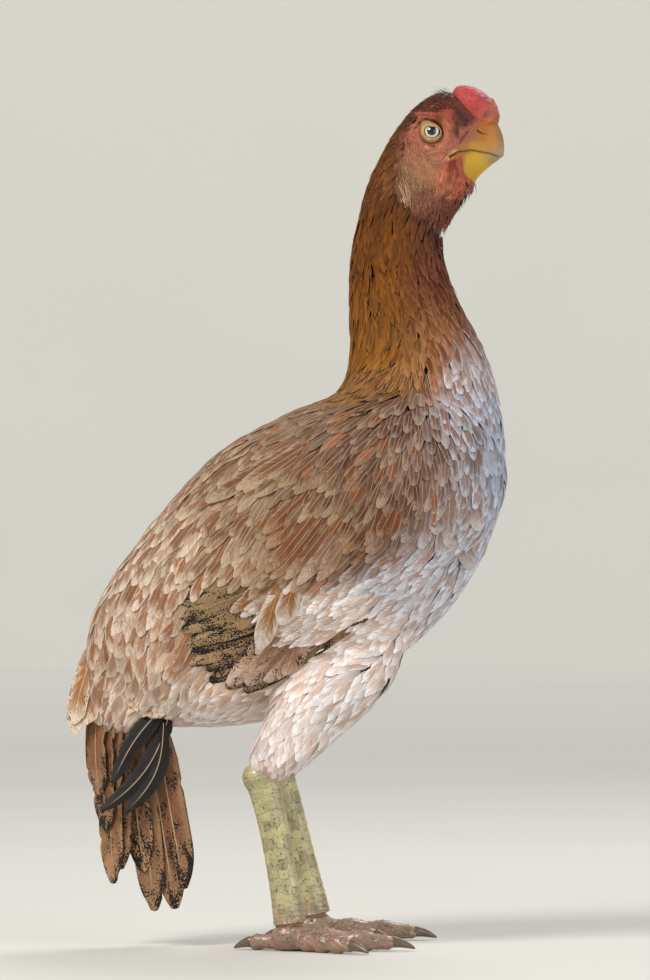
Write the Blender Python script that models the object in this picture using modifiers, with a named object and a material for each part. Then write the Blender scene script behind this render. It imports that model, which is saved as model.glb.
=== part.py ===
"""A life-size aseel hen, standing still on both feet, as a museum model shows it.

The hen faces +X, her left side is +Y, and the floor is at Z = 0. The origin is on the floor,
under the middle of her bounding box. Tables hold millimetres; everything built is in metres.
One lofted skin gives the outline of torso, neck, head and bill. Its sections are planes, each
through a point of the back line and a point of the belly line, and the parts are cut from it.
"""

import math

import bmesh
import bpy
import numpy as np
from mathutils import Matrix, Vector

MM = 0.001
GAP = 0.3  # clear space between touching parts
RIGHT, LEFT = -1, 1
SIDES = {"right": RIGHT, "left": LEFT}

# The skin's sections from the stern to the tip of the bill:
# back point x, z; belly point x, z; half width; share by which the belly side is narrower.
SECTIONS = {
    "stern": (-114, 166, -80, 131, 13, 0.00),
    "rump": (-108, 193, -46, 129, 30, 0.00),
    "saddle": (-92, 220, -10, 133, 44, 0.02),
    "loin": (-68, 251, 31, 147, 56, 0.06),
    "back": (-36, 284, 67, 171, 64, 0.12),
    "shoulders": (3, 306, 100, 206, 67, 0.14),
    "wrist": (30, 318, 120, 246, 62, 0.12),
    "cape": (38, 332, 125, 287, 49, 0.06),
    "neck_root": (40, 350, 121, 321, 36, 0.00),
    "neck_low": (39, 367, 113, 346, 28, -0.04),
    "neck_mid": (39, 383, 102, 368, 23, -0.06),
    "neck_high": (40, 401, 93, 390, 20, -0.04),
    "throat": (44, 420, 91, 409, 18, 0.00),
    "nape": (49, 440, 98, 424, 17.5, 0.06),
    "ear": (58, 461, 104, 433, 18, 0.12),
    "eye": (72, 482, 108, 438, 18.5, 0.22),
    "brow": (89, 494, 110, 441, 16, 0.20),
    "forehead": (106, 491.5, 111, 444, 11.5, 0.10),
    "cere": (120, 480.5, 113.5, 447, 7.8, 0.0),
    "bill": (125.8, 470.5, 119, 452, 5.4, -0.05),
    "hook": (127, 462, 123, 455, 2.6, 0.0),
}
NAMES = list(SECTIONS)
TABLE = np.array(list(SECTIONS.values()), float)
FULLNESS = 0.82  # under 1 makes a section squarer than an ellipse
TORSO_RINGS, TORSO_SEGMENTS = 20, 30
NECK_RINGS, NECK_SEGMENTS = 12, 22
STERN_DOME = 4.0
HEAD_DOME = 2.2
SKULL_STEPS, SKULL_LEAVES = 80, 0.6
HEAD_RINGS, HEAD_SEGMENTS = 40, 34
NORMAL_STEP = 0.02
WIDE = 120  # half the width of a cutter that passes through the whole hen

NECK_CUT = NAMES.index("neck_root") - 0.35
HEAD_CUT = NAMES.index("nape") + 0.30
SKIN_END = float(len(NAMES) - 1)

# The head turns a little to its right about a vertical axis in the neck.
HEAD_TURN = math.radians(-4.0)
TURN_AXIS_X = 72
TURN_STARTS, TURN_ENDS = 385, 455

# The bill's base as the side view shows it, from the comb to the chin, and the line of the mouth.
BILL_BASE = ((120.5, 490), (101, 460.2), (103.5, 454.5), (104.5, 448), (114, 440))
BILL_AHEAD = 140
MOUTH_LINE = ((93.7, 455.4), (101, 459.5), (109, 460.8), (119, 459.2), (140, 451.5))
MOUTH_CREASE = (0.75, 1.7)  # height and depth of the groove behind the corner of the bill
BILL_FROM = HEAD_CUT + 1.4
BILL_RINGS, BILL_SEGMENTS = 15, 18
MOUTH_REACH = 40
NOSTRIL_AT, NOSTRIL_SLOPE = (114, 471), math.radians(-30)
NOSTRIL_SIZE, FLAP_SIZE = (3.0, 1.6, 0.75), (3.4, 1.1, 1.3)
FLAP_OVER = (0.6, 1.3)  # the flap lies this far ahead of its nostril and above it

EYE_AT = (86.3, 471.3)
EYE_R = 6.3
EYE_SUNK = 3.4
LID_RING, LID_R = 5.5, 1.35
LID_LONG = 1.08  # the opening of the lids is that much longer than high
LID_TURNS, LID_SIDES = 12, 5
UPPER_LID_AT, UPPER_LID_SLOPE = (87.6, 477.4), math.radians(-24)
UPPER_LID_SIZE = (8.0, 1.9, 1.7)
EAR_AT, EAR_SIZE = (68.5, 462), (2.4, 1.8, 3.0)

# Relief of the face: from x, z to x, z as the side view shows it, spread and height.
FACE_RELIEF = (
    ((79, 482), (97, 474), 3.0, 2.4),
    ((79, 457), (92, 461), 4.6, 1.8),
    ((86.3, 471.3), (86.3, 471.3), 8.0, -1.6),
    ((101, 470), (107, 467), 4.5, -1.7),
    ((71, 458), (70, 449), 4.0, 1.2),
    ((84, 443), (98, 448), 4.0, 1.3),
    ((80, 434), (100, 441), 2.4, -1.7),
    ((95, 457), (100, 461), 2.0, 0.9),
)

COMB_AT, COMB_SLOPE = (110.2, 486.5), math.radians(-40)
COMB_SIZE = (15.0, 10.6, 9.6)
COMB_RINGS, COMB_SEGMENTS = 8, 16
COMB_ROWS = (2, 3, 2)
BULB_R, BULB_SUNK = 2.7, 0.87
COMB_GAP = 0.4
# Degrees over the comb: the first bulb from the top, the step to the next, what an outer row
# starts later, and how far a row lies to the side.
BULB_START, BULB_STEP, BULB_LATER, BULB_LEAN = 12, 34, 12, 42

WING_FULLNESS = 0.66
# What share of its triangles a node keeps once its pieces are joined.
WING_SHARE, TAIL_SHARE, HEAD_SHARE, FOOT_SHARE, COMB_SHARE = 0.53, 0.54, 0.56, 0.72, 0.65

VANE_THICK = 0.7
TIP_SHARE = 0.62  # a vane narrows from here to its tip
VANE_ROWS, LONG_VANE_ROWS = 4, 5
VANE_ROOT, VANE_WIDENS = 0.55, 1.4  # width at the root, and how fast it reaches the full one
VANE_TIP_LESS = 0.86  # how far the tip's arc is followed: 1 would end in a point
VANE_DRAWN, DRAWN_FROM = 0.035, 0.6  # how far a tip's edges are drawn back, and from where
SHINGLE = 0.95  # how far a feather lies above its lower neighbour
LAST_OF_WING = 8.6  # the wing lies on the skin up to here
FLANK_EDGE = 0.96  # cosine nearest the back or the belly line that a feather reaches
LEAST_LEAN = 0.35
VIEW_SHARE = 0.6  # how closely a lifted feather keeps its place in the side view
SEARCH_STEPS, HALVINGS = 60, 24

# The arm of the folded wing: centre x, z, half length, half height, slope and thickness.
WING_CORE = ((64, 266), 58, 50, math.radians(10), 9.5)
CORE_UNDER = 3.0  # how deep the arm reaches into the body, before it is cut
CORE_RINGS, CORE_SEGMENTS = 8, 16
ROOT_SUNK = 1.6
ROW_BOW = 2.5
LEAST_PITCH = 5.0
# Rows of wing feathers on the right-hand view of the hen:
# count, three points x, z along the roots, three along the tips, half width, lift of the tips.
WING_ROWS = {
    "primary": (5, ((94, 238), (89, 232), (82, 226)), ((-51, 170), (-40, 161), (-23, 153)), 9.5, 1.6),
    "secondary": (7, ((26, 278), (56, 256), (88, 244)), ((-57, 213), (-61, 193), (-55, 172)), 11.5, 4.2),
    "greater": (7, ((26, 284), (61, 273), (98, 258)), ((-15, 177), (26, 264), (101, 226)), 10.5, 7.6),
    "median": (6, ((32, 296), (64, 297), (98, 284)), ((0, 247), (58, 247), (107, 242)), 12.0, 10.6),
    "lesser": (5, ((51, 306), (78, 314), (98, 300)), ((26, 275), (70, 270), (108, 266)), 13.0, 13.0),
    "scapular": (4, ((60, 306), (44, 304), (30, 300)), ((-6, 258), (-23, 258), (-40, 255)), 11.0, 9.0),
}
WING_LOWER_EDGE = ((105, 196), (-45, 143))  # legs stay under this line
WING_ROOM = 160

# Tail feathers, for one side: root x, z and tip x, z and how far out root and tip lie.
TAIL_PAIRS = 7
TAIL_ROOTS = ((-104, 158), (-92, 152), (-78, 146))
TAIL_TIPS = ((-104, 64), (-92, 12), (-58, 24))
TAIL_OUT_ROOT, TAIL_OUT_TIP = (1.6, 9.5), (2.4, 16.0)
TAIL_HALF, TAIL_BOW = 10.5, -4.0
TAIL_TILT = 0.075  # a tail feather leans out by this share of its width
COVERT_PAIRS = 6
COVERT_ROOTS = ((-110, 176), (-100, 166), (-78, 150))
COVERT_TIPS = ((-126, 126), (-98, 116), (-72, 120))
COVERT_OUT_ROOT, COVERT_OUT_TIP = (5.5, 13.5), (7.0, 20.5)
COVERT_HALF = 9.0
SICKLES = (((-72, 140), (-104, 81)), ((-74, 128), (-93, 79)))
SICKLE_HALF, SICKLE_BOW = 8.5, -5.0
SICKLE_OUT, SICKLE_SPACE, SICKLE_ROOT_IN = 22.0, 1.4, 10
LONG_TIP_SHARE = 0.7
TAIL_CORE_AT, TAIL_CORE_SIZE = (-94, 148), (20, 16, 25)

# Legs: x, y, z of the stations and their radii fore-and-aft and across.
THIGH = (
    ((44, 20, 198), 20, 9),
    ((41, 26, 178), 27, 15),
    ((28, 33, 156), 27, 18),
    ((9, 39, 131), 19, 15.5),
    ((-7, 42, 109), 12, 11),
    ((-12, 42, 101), 9.5, 9.5),
)
SHANK = (
    ((-15, 42, 107), 7.0, 6.5),
    ((-14, 42, 101), 10.2, 8.6),
    ((-11, 42, 92), 9.2, 7.9),
    ((-6, 42.5, 70), 8.2, 6.9),
    ((-1, 43, 42), 8.1, 6.8),
    ((2, 43, 24), 8.8, 8.2),
    ((3, 43, 16), 9.2, 9.4),
)
SCUTES = 10
SCUTE_STEP, TOE_SCUTE_STEP = 0.9, 0.65
STEP_SHARE = 0.14  # of a scute's length, taken by the step down to the next
SCUTE_BACK = 0.3  # how much of a scute's step goes round the back of the shank
LOOK_AHEAD = 0.05
THIGH_SEGMENTS, THIGH_RINGS, SHANK_SEGMENTS = 18, 11, 12
HIP_HEIGHT, ANKLE_HEIGHT = 200, 16
LEG_FORWARD = {"right": 0.0, "left": 14.0}
HUB_AT, HUB_SIZE = (4, 43, 8.5), (12, 11, 9.5)
ANKLE_SEGMENTS, ANKLE_RINGS = 12, 5
ANKLE_OVER, ANKLE_UNDER, ANKLE_GROWS = 4, 3, (1.0, 0.5)
FLOOR_BOX = ((-80, 0), (140, 0), (140, -20), (-80, -20))
SHANK_ROOM = (30, 40)  # half length and height of the box over the foot

# Toes: heading from straight ahead (outward is positive), length, radii at root and end, scutes.
TOES = {
    "middle": (5, 57, 6.9, 5.0, 5),
    "inner": (-36, 42, 6.5, 4.7, 4),
    "outer": (42, 45, 6.3, 4.6, 4),
    "hind": (-162, 23, 5.4, 4.3, 2),
}
TOE_START = 2.0
TOE_SEGMENTS, TOE_WIDE, TOE_END = 8, 0.94, 0.80
PAD_DEPTH, PAD_WAVE = 0.9, (0.5, 0.9)  # the pads swell under the toe's joints
CLAW_LENGTH, CLAW_R, CLAW_DROP, CLAW_OVER = 12.0, 2.9, 3.4, 0.7
CLAW_RINGS, CLAW_SEGMENTS, CLAW_WIDE, CLAW_POINT = 6, 8, 0.8, 0.25
CLAW_TAPER, CLAW_CURVE = 0.6, 1.6
HIND_CLAW = 0.8

COLOURS = {
    "plumage_buff": ((0.60, 0.38, 0.22), 0.75),
    "plumage_fluff": ((0.78, 0.66, 0.56), 0.85),
    "hackle_gold": ((0.52, 0.27, 0.09), 0.65),
    "tail_buff": ((0.46, 0.29, 0.16), 0.7),
    "face_red": ((0.52, 0.17, 0.10), 0.6),
    "comb_red": ((0.62, 0.12, 0.11), 0.45),
    "bill_yellow": ((0.72, 0.50, 0.20), 0.4),
    "eye_pearl": ((0.74, 0.72, 0.58), 0.1),
    "leg_yellow": ((0.60, 0.47, 0.20), 0.5),
    "claw_horn": ((0.30, 0.20, 0.14), 0.4),
}


def clear_scene():
    """Removes whatever the file opened with."""
    for obj in list(bpy.data.objects):
        bpy.data.objects.remove(obj)


def make_collection(name):
    """A collection linked to the scene."""
    made = bpy.data.collections.new(name)
    bpy.context.scene.collection.children.link(made)
    return made


def material(name):
    """The Principled material of one finish."""
    if name in bpy.data.materials:
        return bpy.data.materials[name]
    colour, roughness = COLOURS[name]
    made = bpy.data.materials.new(name)
    made.use_nodes = True
    shader = made.node_tree.nodes["Principled BSDF"]
    shader.inputs["Base Color"].default_value = (*colour, 1.0)
    shader.inputs["Roughness"].default_value = roughness
    shader.inputs["Metallic"].default_value = 0.0
    return made


def smooth(low, high, value):
    """0 below low, 1 above high, and a smooth step between."""
    share = min(1.0, max(0.0, (value - low) / (high - low)))
    return share * share * (3 - 2 * share)


def spline(points, t):
    """Catmull-Rom through the rows of points, at t counted in rows."""
    last = len(points) - 1
    i = int(min(max(math.floor(t), 0), last - 1))
    u = t - i
    a, b, c, d = (points[min(max(k, 0), last)] for k in (i - 1, i, i + 1, i + 2))
    return 0.5 * (2 * b + (c - a) * u + (2 * a - 5 * b + 4 * c - d) * u**2 + (3 * b - 3 * c + d - a) * u**3)


def bezier(points, s):
    """The quadratic curve through the first and last of three points, drawn to the middle one."""
    a, b, c = (np.array(p, float) for p in points)
    return a * (1 - s) ** 2 + b * 2 * s * (1 - s) + c * s**2


def section(t):
    """Back point, belly point, half width and narrowing of the skin at t."""
    row = spline(TABLE, t)
    return row[0:2], row[2:4], row[4], row[5]


def skin_flat(t, angle, fullness=FULLNESS):
    """The skin's point at t, angle 0 on the back and pi on the belly, in millimetres."""
    back, belly, half, narrowing = section(t)
    middle, reach = (back + belly) / 2, (back - belly) / 2
    c, s = math.cos(angle), math.sin(angle)
    across = half * abs(s) ** fullness * (1 + narrowing * c)
    x, z = middle + reach * c
    return np.array((x, math.copysign(across, s), z))


def skin_normal(t, angle, fullness=FULLNESS):
    """The outward normal of the skin there."""
    low, high = max(t - NORMAL_STEP, 0.0), min(t + NORMAL_STEP, SKIN_END)
    along = skin_flat(high, angle, fullness) - skin_flat(low, angle, fullness)
    around = skin_flat(t, angle + NORMAL_STEP, fullness) - skin_flat(t, angle - NORMAL_STEP, fullness)
    normal = np.cross(along, around)
    return normal / max(np.linalg.norm(normal), 1e-9)


def locate(x, z):
    """The section parameter and the cosine of the angle at which the side view shows x, z."""
    point = np.array((x, z), float)

    def side_of(t):
        back, belly, _, _ = section(t)
        line, offset = belly - back, point - back
        return line[0] * offset[1] - line[1] * offset[0]

    steps = np.linspace(0.0, LAST_OF_WING, SEARCH_STEPS)
    signs = [side_of(t) for t in steps]
    low, high = steps[0], steps[-1]
    for a, b, fa, fb in zip(steps[:-1], steps[1:], signs[:-1], signs[1:]):
        if fa * fb <= 0:
            low, high = a, b
            break
    start = side_of(low)
    for _ in range(HALVINGS):
        half = (low + high) / 2
        if side_of(half) * start > 0:
            low = half
        else:
            high = half
    t = (low + high) / 2
    back, belly, _, _ = section(t)
    reach = (back - belly) / 2
    return t, float(np.dot(point - (back + belly) / 2, reach) / np.dot(reach, reach))


def on_wing(x, z, side, lift):
    """A point over the hen's flank as the side view shows it, lifted off the body."""
    t, c = locate(x, z)
    angle = math.acos(min(FLANK_EDGE, max(-FLANK_EDGE, c)))
    flat = skin_flat(t, angle, WING_FULLNESS)
    normal = skin_normal(t, angle, WING_FULLNESS)
    placed = flat + normal * (lift / max(LEAST_LEAN, abs(normal[1])))
    placed += (np.array((x, placed[1], z)) - placed) * VIEW_SHARE
    placed[1] = abs(placed[1]) * side
    return placed


def turn_head(obj):
    """Turns what lies above the neck a little aside, about a vertical axis."""
    for vertex in obj.data.vertices:
        share = smooth(TURN_STARTS * MM, TURN_ENDS * MM, vertex.co.z)
        c, s = math.cos(HEAD_TURN * share), math.sin(HEAD_TURN * share)
        x, y = vertex.co.x - TURN_AXIS_X * MM, vertex.co.y
        vertex.co.x, vertex.co.y = x * c - y * s + TURN_AXIS_X * MM, x * s + y * c


def mesh_object(name, bm, collection):
    """An object holding bm, triangulated and facing out. Its points are given in millimetres."""
    bmesh.ops.triangulate(bm, faces=bm.faces[:])
    bmesh.ops.recalc_face_normals(bm, faces=bm.faces[:])
    bmesh.ops.scale(bm, vec=(MM, MM, MM), verts=bm.verts[:])
    mesh = bpy.data.meshes.new(name)
    bm.to_mesh(mesh)
    bm.free()
    obj = bpy.data.objects.new(name, mesh)
    collection.objects.link(obj)
    return obj


def ball(name, collection, segments, rings, place):
    """A UV sphere whose points place(ring, angle) moves; ring counts from 0 at one pole to rings."""
    bm = bmesh.new()
    bmesh.ops.create_uvsphere(bm, u_segments=segments, v_segments=rings, radius=1.0)
    for vertex in bm.verts:
        ring = round(math.acos(min(1.0, max(-1.0, vertex.co.z))) / math.pi * rings)
        vertex.co = Vector(place(ring, math.atan2(vertex.co.y, vertex.co.x)))
    return mesh_object(name, bm, collection)


def ellipsoid(name, collection, centre, size, segments=12, rings=8):
    """A plain ellipsoid with its axes along X, Y and Z."""

    def place(ring, angle):
        tilt = math.pi * ring / rings
        return (
            centre[0] + size[0] * math.sin(tilt) * math.cos(angle),
            centre[1] + size[1] * math.sin(tilt) * math.sin(angle),
            centre[2] + size[2] * math.cos(tilt),
        )

    return ball(name, collection, segments, rings, place)


def tilted(name, collection, centre, size, slope, segments=8, rings=5):
    """An ellipsoid whose long axis rises by slope towards +X."""
    made = ellipsoid(name, collection, (0, 0, 0), size, segments, rings)
    made.data.transform(Matrix.Rotation(-slope, 4, "Y"))
    made.data.transform(Matrix.Translation(Vector(centre) * MM))
    return made


def flesh(
    name, collection, start, end, rings, segments, lift=0.0, start_gap=0.0, poles=(0, 0), relief=None
):
    """The part of the lofted skin from start to end, with flat or domed ends, grown by lift."""

    def spine(t):
        back, belly, _, _ = section(t)
        return np.array(((back[0] + belly[0]) / 2, 0.0, (back[1] + belly[1]) / 2))

    def plane_normal(t):
        back, belly, _, _ = section(t)
        line = back - belly
        normal = np.array((line[1], 0.0, -line[0]))
        return normal / np.linalg.norm(normal)

    def place(ring, angle):
        if ring in (0, rings):
            first = ring == 0
            t = start if first else end
            dome = -poles[0] - lift if first else poles[1] + lift
            return spine(t) + plane_normal(t) * (dome + (start_gap if first else 0.0))
        t = start + (end - start) * (ring - 1) / (rings - 2)
        point = skin_flat(t, angle)
        rise = relief(point[0], point[2]) * abs(math.sin(angle)) if relief else 0.0
        point = point + skin_normal(t, angle) * (lift + rise)
        if ring == 1:
            point = point + plane_normal(t) * (start_gap - lift)
        if ring == rings - 1:
            point = point + plane_normal(t) * lift
        return point

    return ball(name, collection, segments, rings, place)


def scute_share(ring, count):
    """Where a ring of a scaled limb lies along it: two rings to a scute, close across each step."""
    if ring % 2 == 0:
        return min(1.0, ((ring - 2) / 2 + STEP_SHARE) / count)
    return (ring - 1) / 2 / count


def tube(name, collection, stations, segments, rings, side=LEFT, scutes=0):
    """A limb through stations of centre and two radii, stepped in front where it has scutes."""
    table = np.array([(*centre, fore, across) for centre, fore, across in stations], float)
    last = len(table) - 1
    steps = np.linalg.norm(np.diff(table[:, :3], axis=0), axis=1)
    reached = np.concatenate(([0.0], np.cumsum(steps))) / steps.sum()

    def place(ring, angle):
        inner = min(rings - 1, max(1, ring))
        share = scute_share(inner, scutes) if scutes else (inner - 1) / (rings - 2)
        along = float(np.interp(share, reached, range(last + 1)))
        x, y, z, fore, across = spline(table, along)
        ahead = spline(table, min(along + LOOK_AHEAD, last))[:3]
        behind = spline(table, max(along - LOOK_AHEAD, 0))[:3]
        axis = (ahead - behind) / np.linalg.norm(ahead - behind)
        forward = np.cross((0.0, 1.0, 0.0), axis)
        forward /= np.linalg.norm(forward)
        if forward[0] < 0:
            forward = -forward
        sideways = np.cross(axis, forward)
        grow = 0.0 if ring in (0, rings) else 1.0
        raised = scutes and ring % 2 and 1 < ring < rings - 1
        front = SCUTE_BACK + (1 - SCUTE_BACK) * max(0.0, math.cos(angle))
        extra = SCUTE_STEP * front if raised else 0.0
        offset = forward * math.cos(angle) * (fore + extra) + sideways * math.sin(angle) * (across + extra)
        point = np.array((x, y, z)) + offset * grow
        return point[0], point[1] * side, point[2]

    return ball(name, collection, segments, rings, place)


def slab(name, collection, corners, low, high):
    """A flat outline in the side view, given as x, z corners, standing from y low to y high."""
    bm = bmesh.new()
    base = [bm.verts.new((x, low, z)) for x, z in corners]
    face = bm.faces.new(base)
    pushed = bmesh.ops.extrude_face_region(bm, geom=[face])["geom"]
    moved = [g for g in pushed if isinstance(g, bmesh.types.BMVert)]
    bmesh.ops.translate(bm, vec=(0, high - low, 0), verts=moved)
    return mesh_object(name, bm, collection)


def apply_modifiers(obj):
    """Bakes the modifiers of obj into its mesh."""
    bpy.context.view_layer.update()
    graph = bpy.context.evaluated_depsgraph_get()
    made = bpy.data.meshes.new_from_object(obj.evaluated_get(graph))
    obj.modifiers.clear()
    obj.data = made


def boolean(obj, operation, operand):
    """Applies one Boolean to obj. The operand is an object or a collection."""
    modifier = obj.modifiers.new("join", "BOOLEAN")
    modifier.operation = operation
    modifier.solver = "MANIFOLD"
    if isinstance(operand, bpy.types.Collection):
        modifier.operand_type = "COLLECTION"
        modifier.collection = operand
    else:
        modifier.object = operand
    apply_modifiers(obj)


def keep_largest(obj):
    """Drops every closed surface but the one that holds the most."""
    bm = bmesh.new()
    bm.from_mesh(obj.data)
    bmesh.ops.triangulate(bm, faces=bm.faces[:])
    left = set(bm.faces)
    islands = []
    while left:
        island, front = set(), [left.pop()]
        while front:
            face = front.pop()
            island.add(face)
            near = {f for edge in face.edges for f in edge.link_faces} & left
            left -= near
            front.extend(near)
        islands.append(island)

    def volume(island):
        return sum(f.verts[0].co.dot(f.verts[1].co.cross(f.verts[2].co)) for f in island)

    islands.sort(key=volume)
    scrap = [face for island in islands[:-1] for face in island]
    bmesh.ops.delete(bm, geom=scrap, context="FACES")
    bm.to_mesh(obj.data)
    bm.free()


def fuse(core, pieces):
    """Joins the collection's closed pieces to core as one body, and removes them."""
    boolean(core, "UNION", pieces)
    for piece in list(pieces.objects):
        bpy.data.objects.remove(piece)
    bpy.data.collections.remove(pieces)
    keep_largest(core)
    return core


def cut(obj, cutter):
    """Takes the cutter away from obj. The cutter is kept, hidden, as a guide."""
    boolean(obj, "DIFFERENCE", cutter)
    cutter.hide_render = True
    cutter.display_type = "WIRE"
    keep_largest(obj)


def fewer(obj, share):
    """Collapses the least edges, which the Booleans leave by the hundred, to a share of the triangles."""
    modifier = obj.modifiers.new("fewer", "DECIMATE")
    modifier.ratio = share
    apply_modifiers(obj)


def finish(obj, finish_name, sharp=35):
    """Gives a part its material and smooth shading broken at edges sharper than some degrees."""
    obj.data.materials.clear()
    obj.data.materials.append(material(finish_name))
    obj.data.shade_smooth()
    obj.data.set_sharp_from_angle(angle=math.radians(sharp))
    return obj


def vane(name, collection, place, half, rows=VANE_ROWS, tip_share=TIP_SHARE):
    """A feather's vane: a grid two faces wide that place(along, across) lays out, with a thickness.

    along runs from 0 at the root to 1 at the tip; across is in millimetres from the shaft.
    """
    bm = bmesh.new()
    bmesh.ops.create_grid(bm, x_segments=2, y_segments=rows, size=1.0)
    bmesh.ops.triangulate(bm, faces=bm.faces[:], quad_method="FIXED")
    for vertex in bm.verts:
        along, side = (vertex.co.y + 1) / 2, vertex.co.x
        width = half * min(1.0, VANE_ROOT + VANE_WIDENS * along)
        if along > tip_share:
            past = (along - tip_share) / (1 - tip_share)
            width *= math.sqrt(1 - (VANE_TIP_LESS * past) ** 2)
        # The tip's row is drawn back at its edges, so that the end is round.
        drawn = VANE_DRAWN * side * side * smooth(DRAWN_FROM, 1.0, along)
        vertex.co = Vector(place(along - drawn, side * width))
    bmesh.ops.scale(bm, vec=(MM, MM, MM), verts=bm.verts[:])
    mesh = bpy.data.meshes.new(name)
    bm.to_mesh(mesh)
    bm.free()
    obj = bpy.data.objects.new(name, mesh)
    collection.objects.link(obj)
    thick = obj.modifiers.new("thickness", "SOLIDIFY")
    thick.thickness = VANE_THICK * MM
    thick.offset = 0.0
    apply_modifiers(obj)
    bm = bmesh.new()
    bm.from_mesh(obj.data)
    bmesh.ops.triangulate(bm, faces=bm.faces[:])
    bmesh.ops.recalc_face_normals(bm, faces=bm.faces[:])
    bm.to_mesh(obj.data)
    bm.free()


def wing_core_lift(x, z):
    """Height of the wing's arm over the flank, as the side view shows it."""
    (cx, cz), long, short, slope, height = WING_CORE
    u = (x - cx) * math.cos(slope) + (z - cz) * math.sin(slope)
    v = (z - cz) * math.cos(slope) - (x - cx) * math.sin(slope)
    return height * math.sqrt(max(0.0, 1 - (u / long) ** 2 - (v / short) ** 2))


def wing_row(pieces, row_name, side):
    """One tier of overlapping feathers, laid like shingles over the flank."""
    count, roots, tips, half, tip_lift = WING_ROWS[row_name]
    for i in range(count):
        share = i / (count - 1)
        root, tip = bezier(roots, share), bezier(tips, share)
        direction = (tip - root) / np.linalg.norm(tip - root)
        across_way = np.array((-direction[1], direction[0]))
        bow = ROW_BOW * math.sin(math.pi * share)
        after = (i + 1 if i + 1 < count else i - 1) / (count - 1)
        root_pitch = abs(np.dot(bezier(roots, after) - root, across_way))
        tip_pitch = abs(np.dot(bezier(tips, after) - tip, across_way))
        root_lift = min(tip_lift, wing_core_lift(*root) - ROOT_SUNK)

        def place(along, across):
            centre = root + (tip - root) * along + across_way * bow * math.sin(math.pi * along)
            x, z = centre + across_way * across
            pitch = max(LEAST_PITCH, root_pitch + (tip_pitch - root_pitch) * along)
            lift = root_lift + (tip_lift - root_lift) * along + SHINGLE / pitch * across
            return on_wing(x, z, side, lift)

        rows = LONG_VANE_ROWS if row_name in ("primary", "secondary") else VANE_ROWS
        vane(f"{row_name}_{i}", pieces, place, half, rows)


def build_wing(parts, word, side, torso_space):
    """A folded wing: the arm as a low mound, with its tiers of feathers rooted in it."""
    (cx, cz), long, short, slope, height = WING_CORE

    def place(ring, angle):
        tilt = math.pi * ring / CORE_RINGS
        u, v = long * math.sin(tilt) * math.cos(angle), short * math.sin(tilt) * math.sin(angle)
        x = cx + u * math.cos(slope) - v * math.sin(slope)
        z = cz + u * math.sin(slope) + v * math.cos(slope)
        lift = (height if 2 * ring < CORE_RINGS else CORE_UNDER) * math.cos(tilt)
        return on_wing(x, z, side, lift)

    wing = ball(f"wing_{word}", parts, CORE_SEGMENTS, CORE_RINGS, place)
    pieces = make_collection(f"wing_feathers_{word}")
    for row_name in WING_ROWS:
        wing_row(pieces, row_name, side)
    fuse(wing, pieces)
    cut(wing, torso_space)
    fewer(wing, WING_SHARE)
    return finish(wing, "plumage_buff")


def tail_vane(pieces, name, root, tip, out_root, out_tip, half, side, bow=0.0, rows=VANE_ROWS):
    """One tail feather standing on edge beside the middle plane."""
    root, tip = np.array(root, float), np.array(tip, float)
    direction = (tip - root) / np.linalg.norm(tip - root)
    across_way = np.array((-direction[1], direction[0]))

    def place(along, across):
        centre = root + (tip - root) * along + across_way * bow * math.sin(math.pi * along)
        x, z = centre + across_way * across
        out = out_root + (out_tip - out_root) * along + TAIL_TILT * across
        return x, out * side, z

    vane(name, pieces, place, half, rows, LONG_TIP_SHARE)


def build_tail(parts, torso_space):
    """The drooping tail: seven pairs of tail feathers like a tent, with coverts over their roots."""
    x, z = TAIL_CORE_AT
    tail = ellipsoid("tail", parts, (x, 0, z), TAIL_CORE_SIZE, 16, 10)
    pieces = make_collection("tail_feathers")
    for side in SIDES.values():
        for i in range(TAIL_PAIRS):
            share = i / (TAIL_PAIRS - 1)
            tail_vane(
                pieces,
                f"rectrix_{i}_{side}",
                bezier(TAIL_ROOTS, share),
                bezier(TAIL_TIPS, share),
                TAIL_OUT_ROOT[0] + (TAIL_OUT_ROOT[1] - TAIL_OUT_ROOT[0]) * share,
                TAIL_OUT_TIP[0] + (TAIL_OUT_TIP[1] - TAIL_OUT_TIP[0]) * share,
                TAIL_HALF,
                side,
                bow=TAIL_BOW * (1 - share),
                rows=LONG_VANE_ROWS,
            )
        for i in range(COVERT_PAIRS):
            share = i / (COVERT_PAIRS - 1)
            tail_vane(
                pieces,
                f"covert_{i}_{side}",
                bezier(COVERT_ROOTS, share),
                bezier(COVERT_TIPS, share),
                COVERT_OUT_ROOT[0] + (COVERT_OUT_ROOT[1] - COVERT_OUT_ROOT[0]) * share,
                COVERT_OUT_TIP[0] + (COVERT_OUT_TIP[1] - COVERT_OUT_TIP[0]) * share,
                COVERT_HALF,
                side,
            )
        for i, (root, tip) in enumerate(SICKLES):
            out = SICKLE_OUT + SICKLE_SPACE * i
            name = f"sickle_{i}_{side}"
            tail_vane(pieces, name, root, tip, out - SICKLE_ROOT_IN, out, SICKLE_HALF, side, SICKLE_BOW)
    fuse(tail, pieces)
    cut(tail, torso_space)
    fewer(tail, TAIL_SHARE)
    return finish(tail, "tail_buff")


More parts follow.
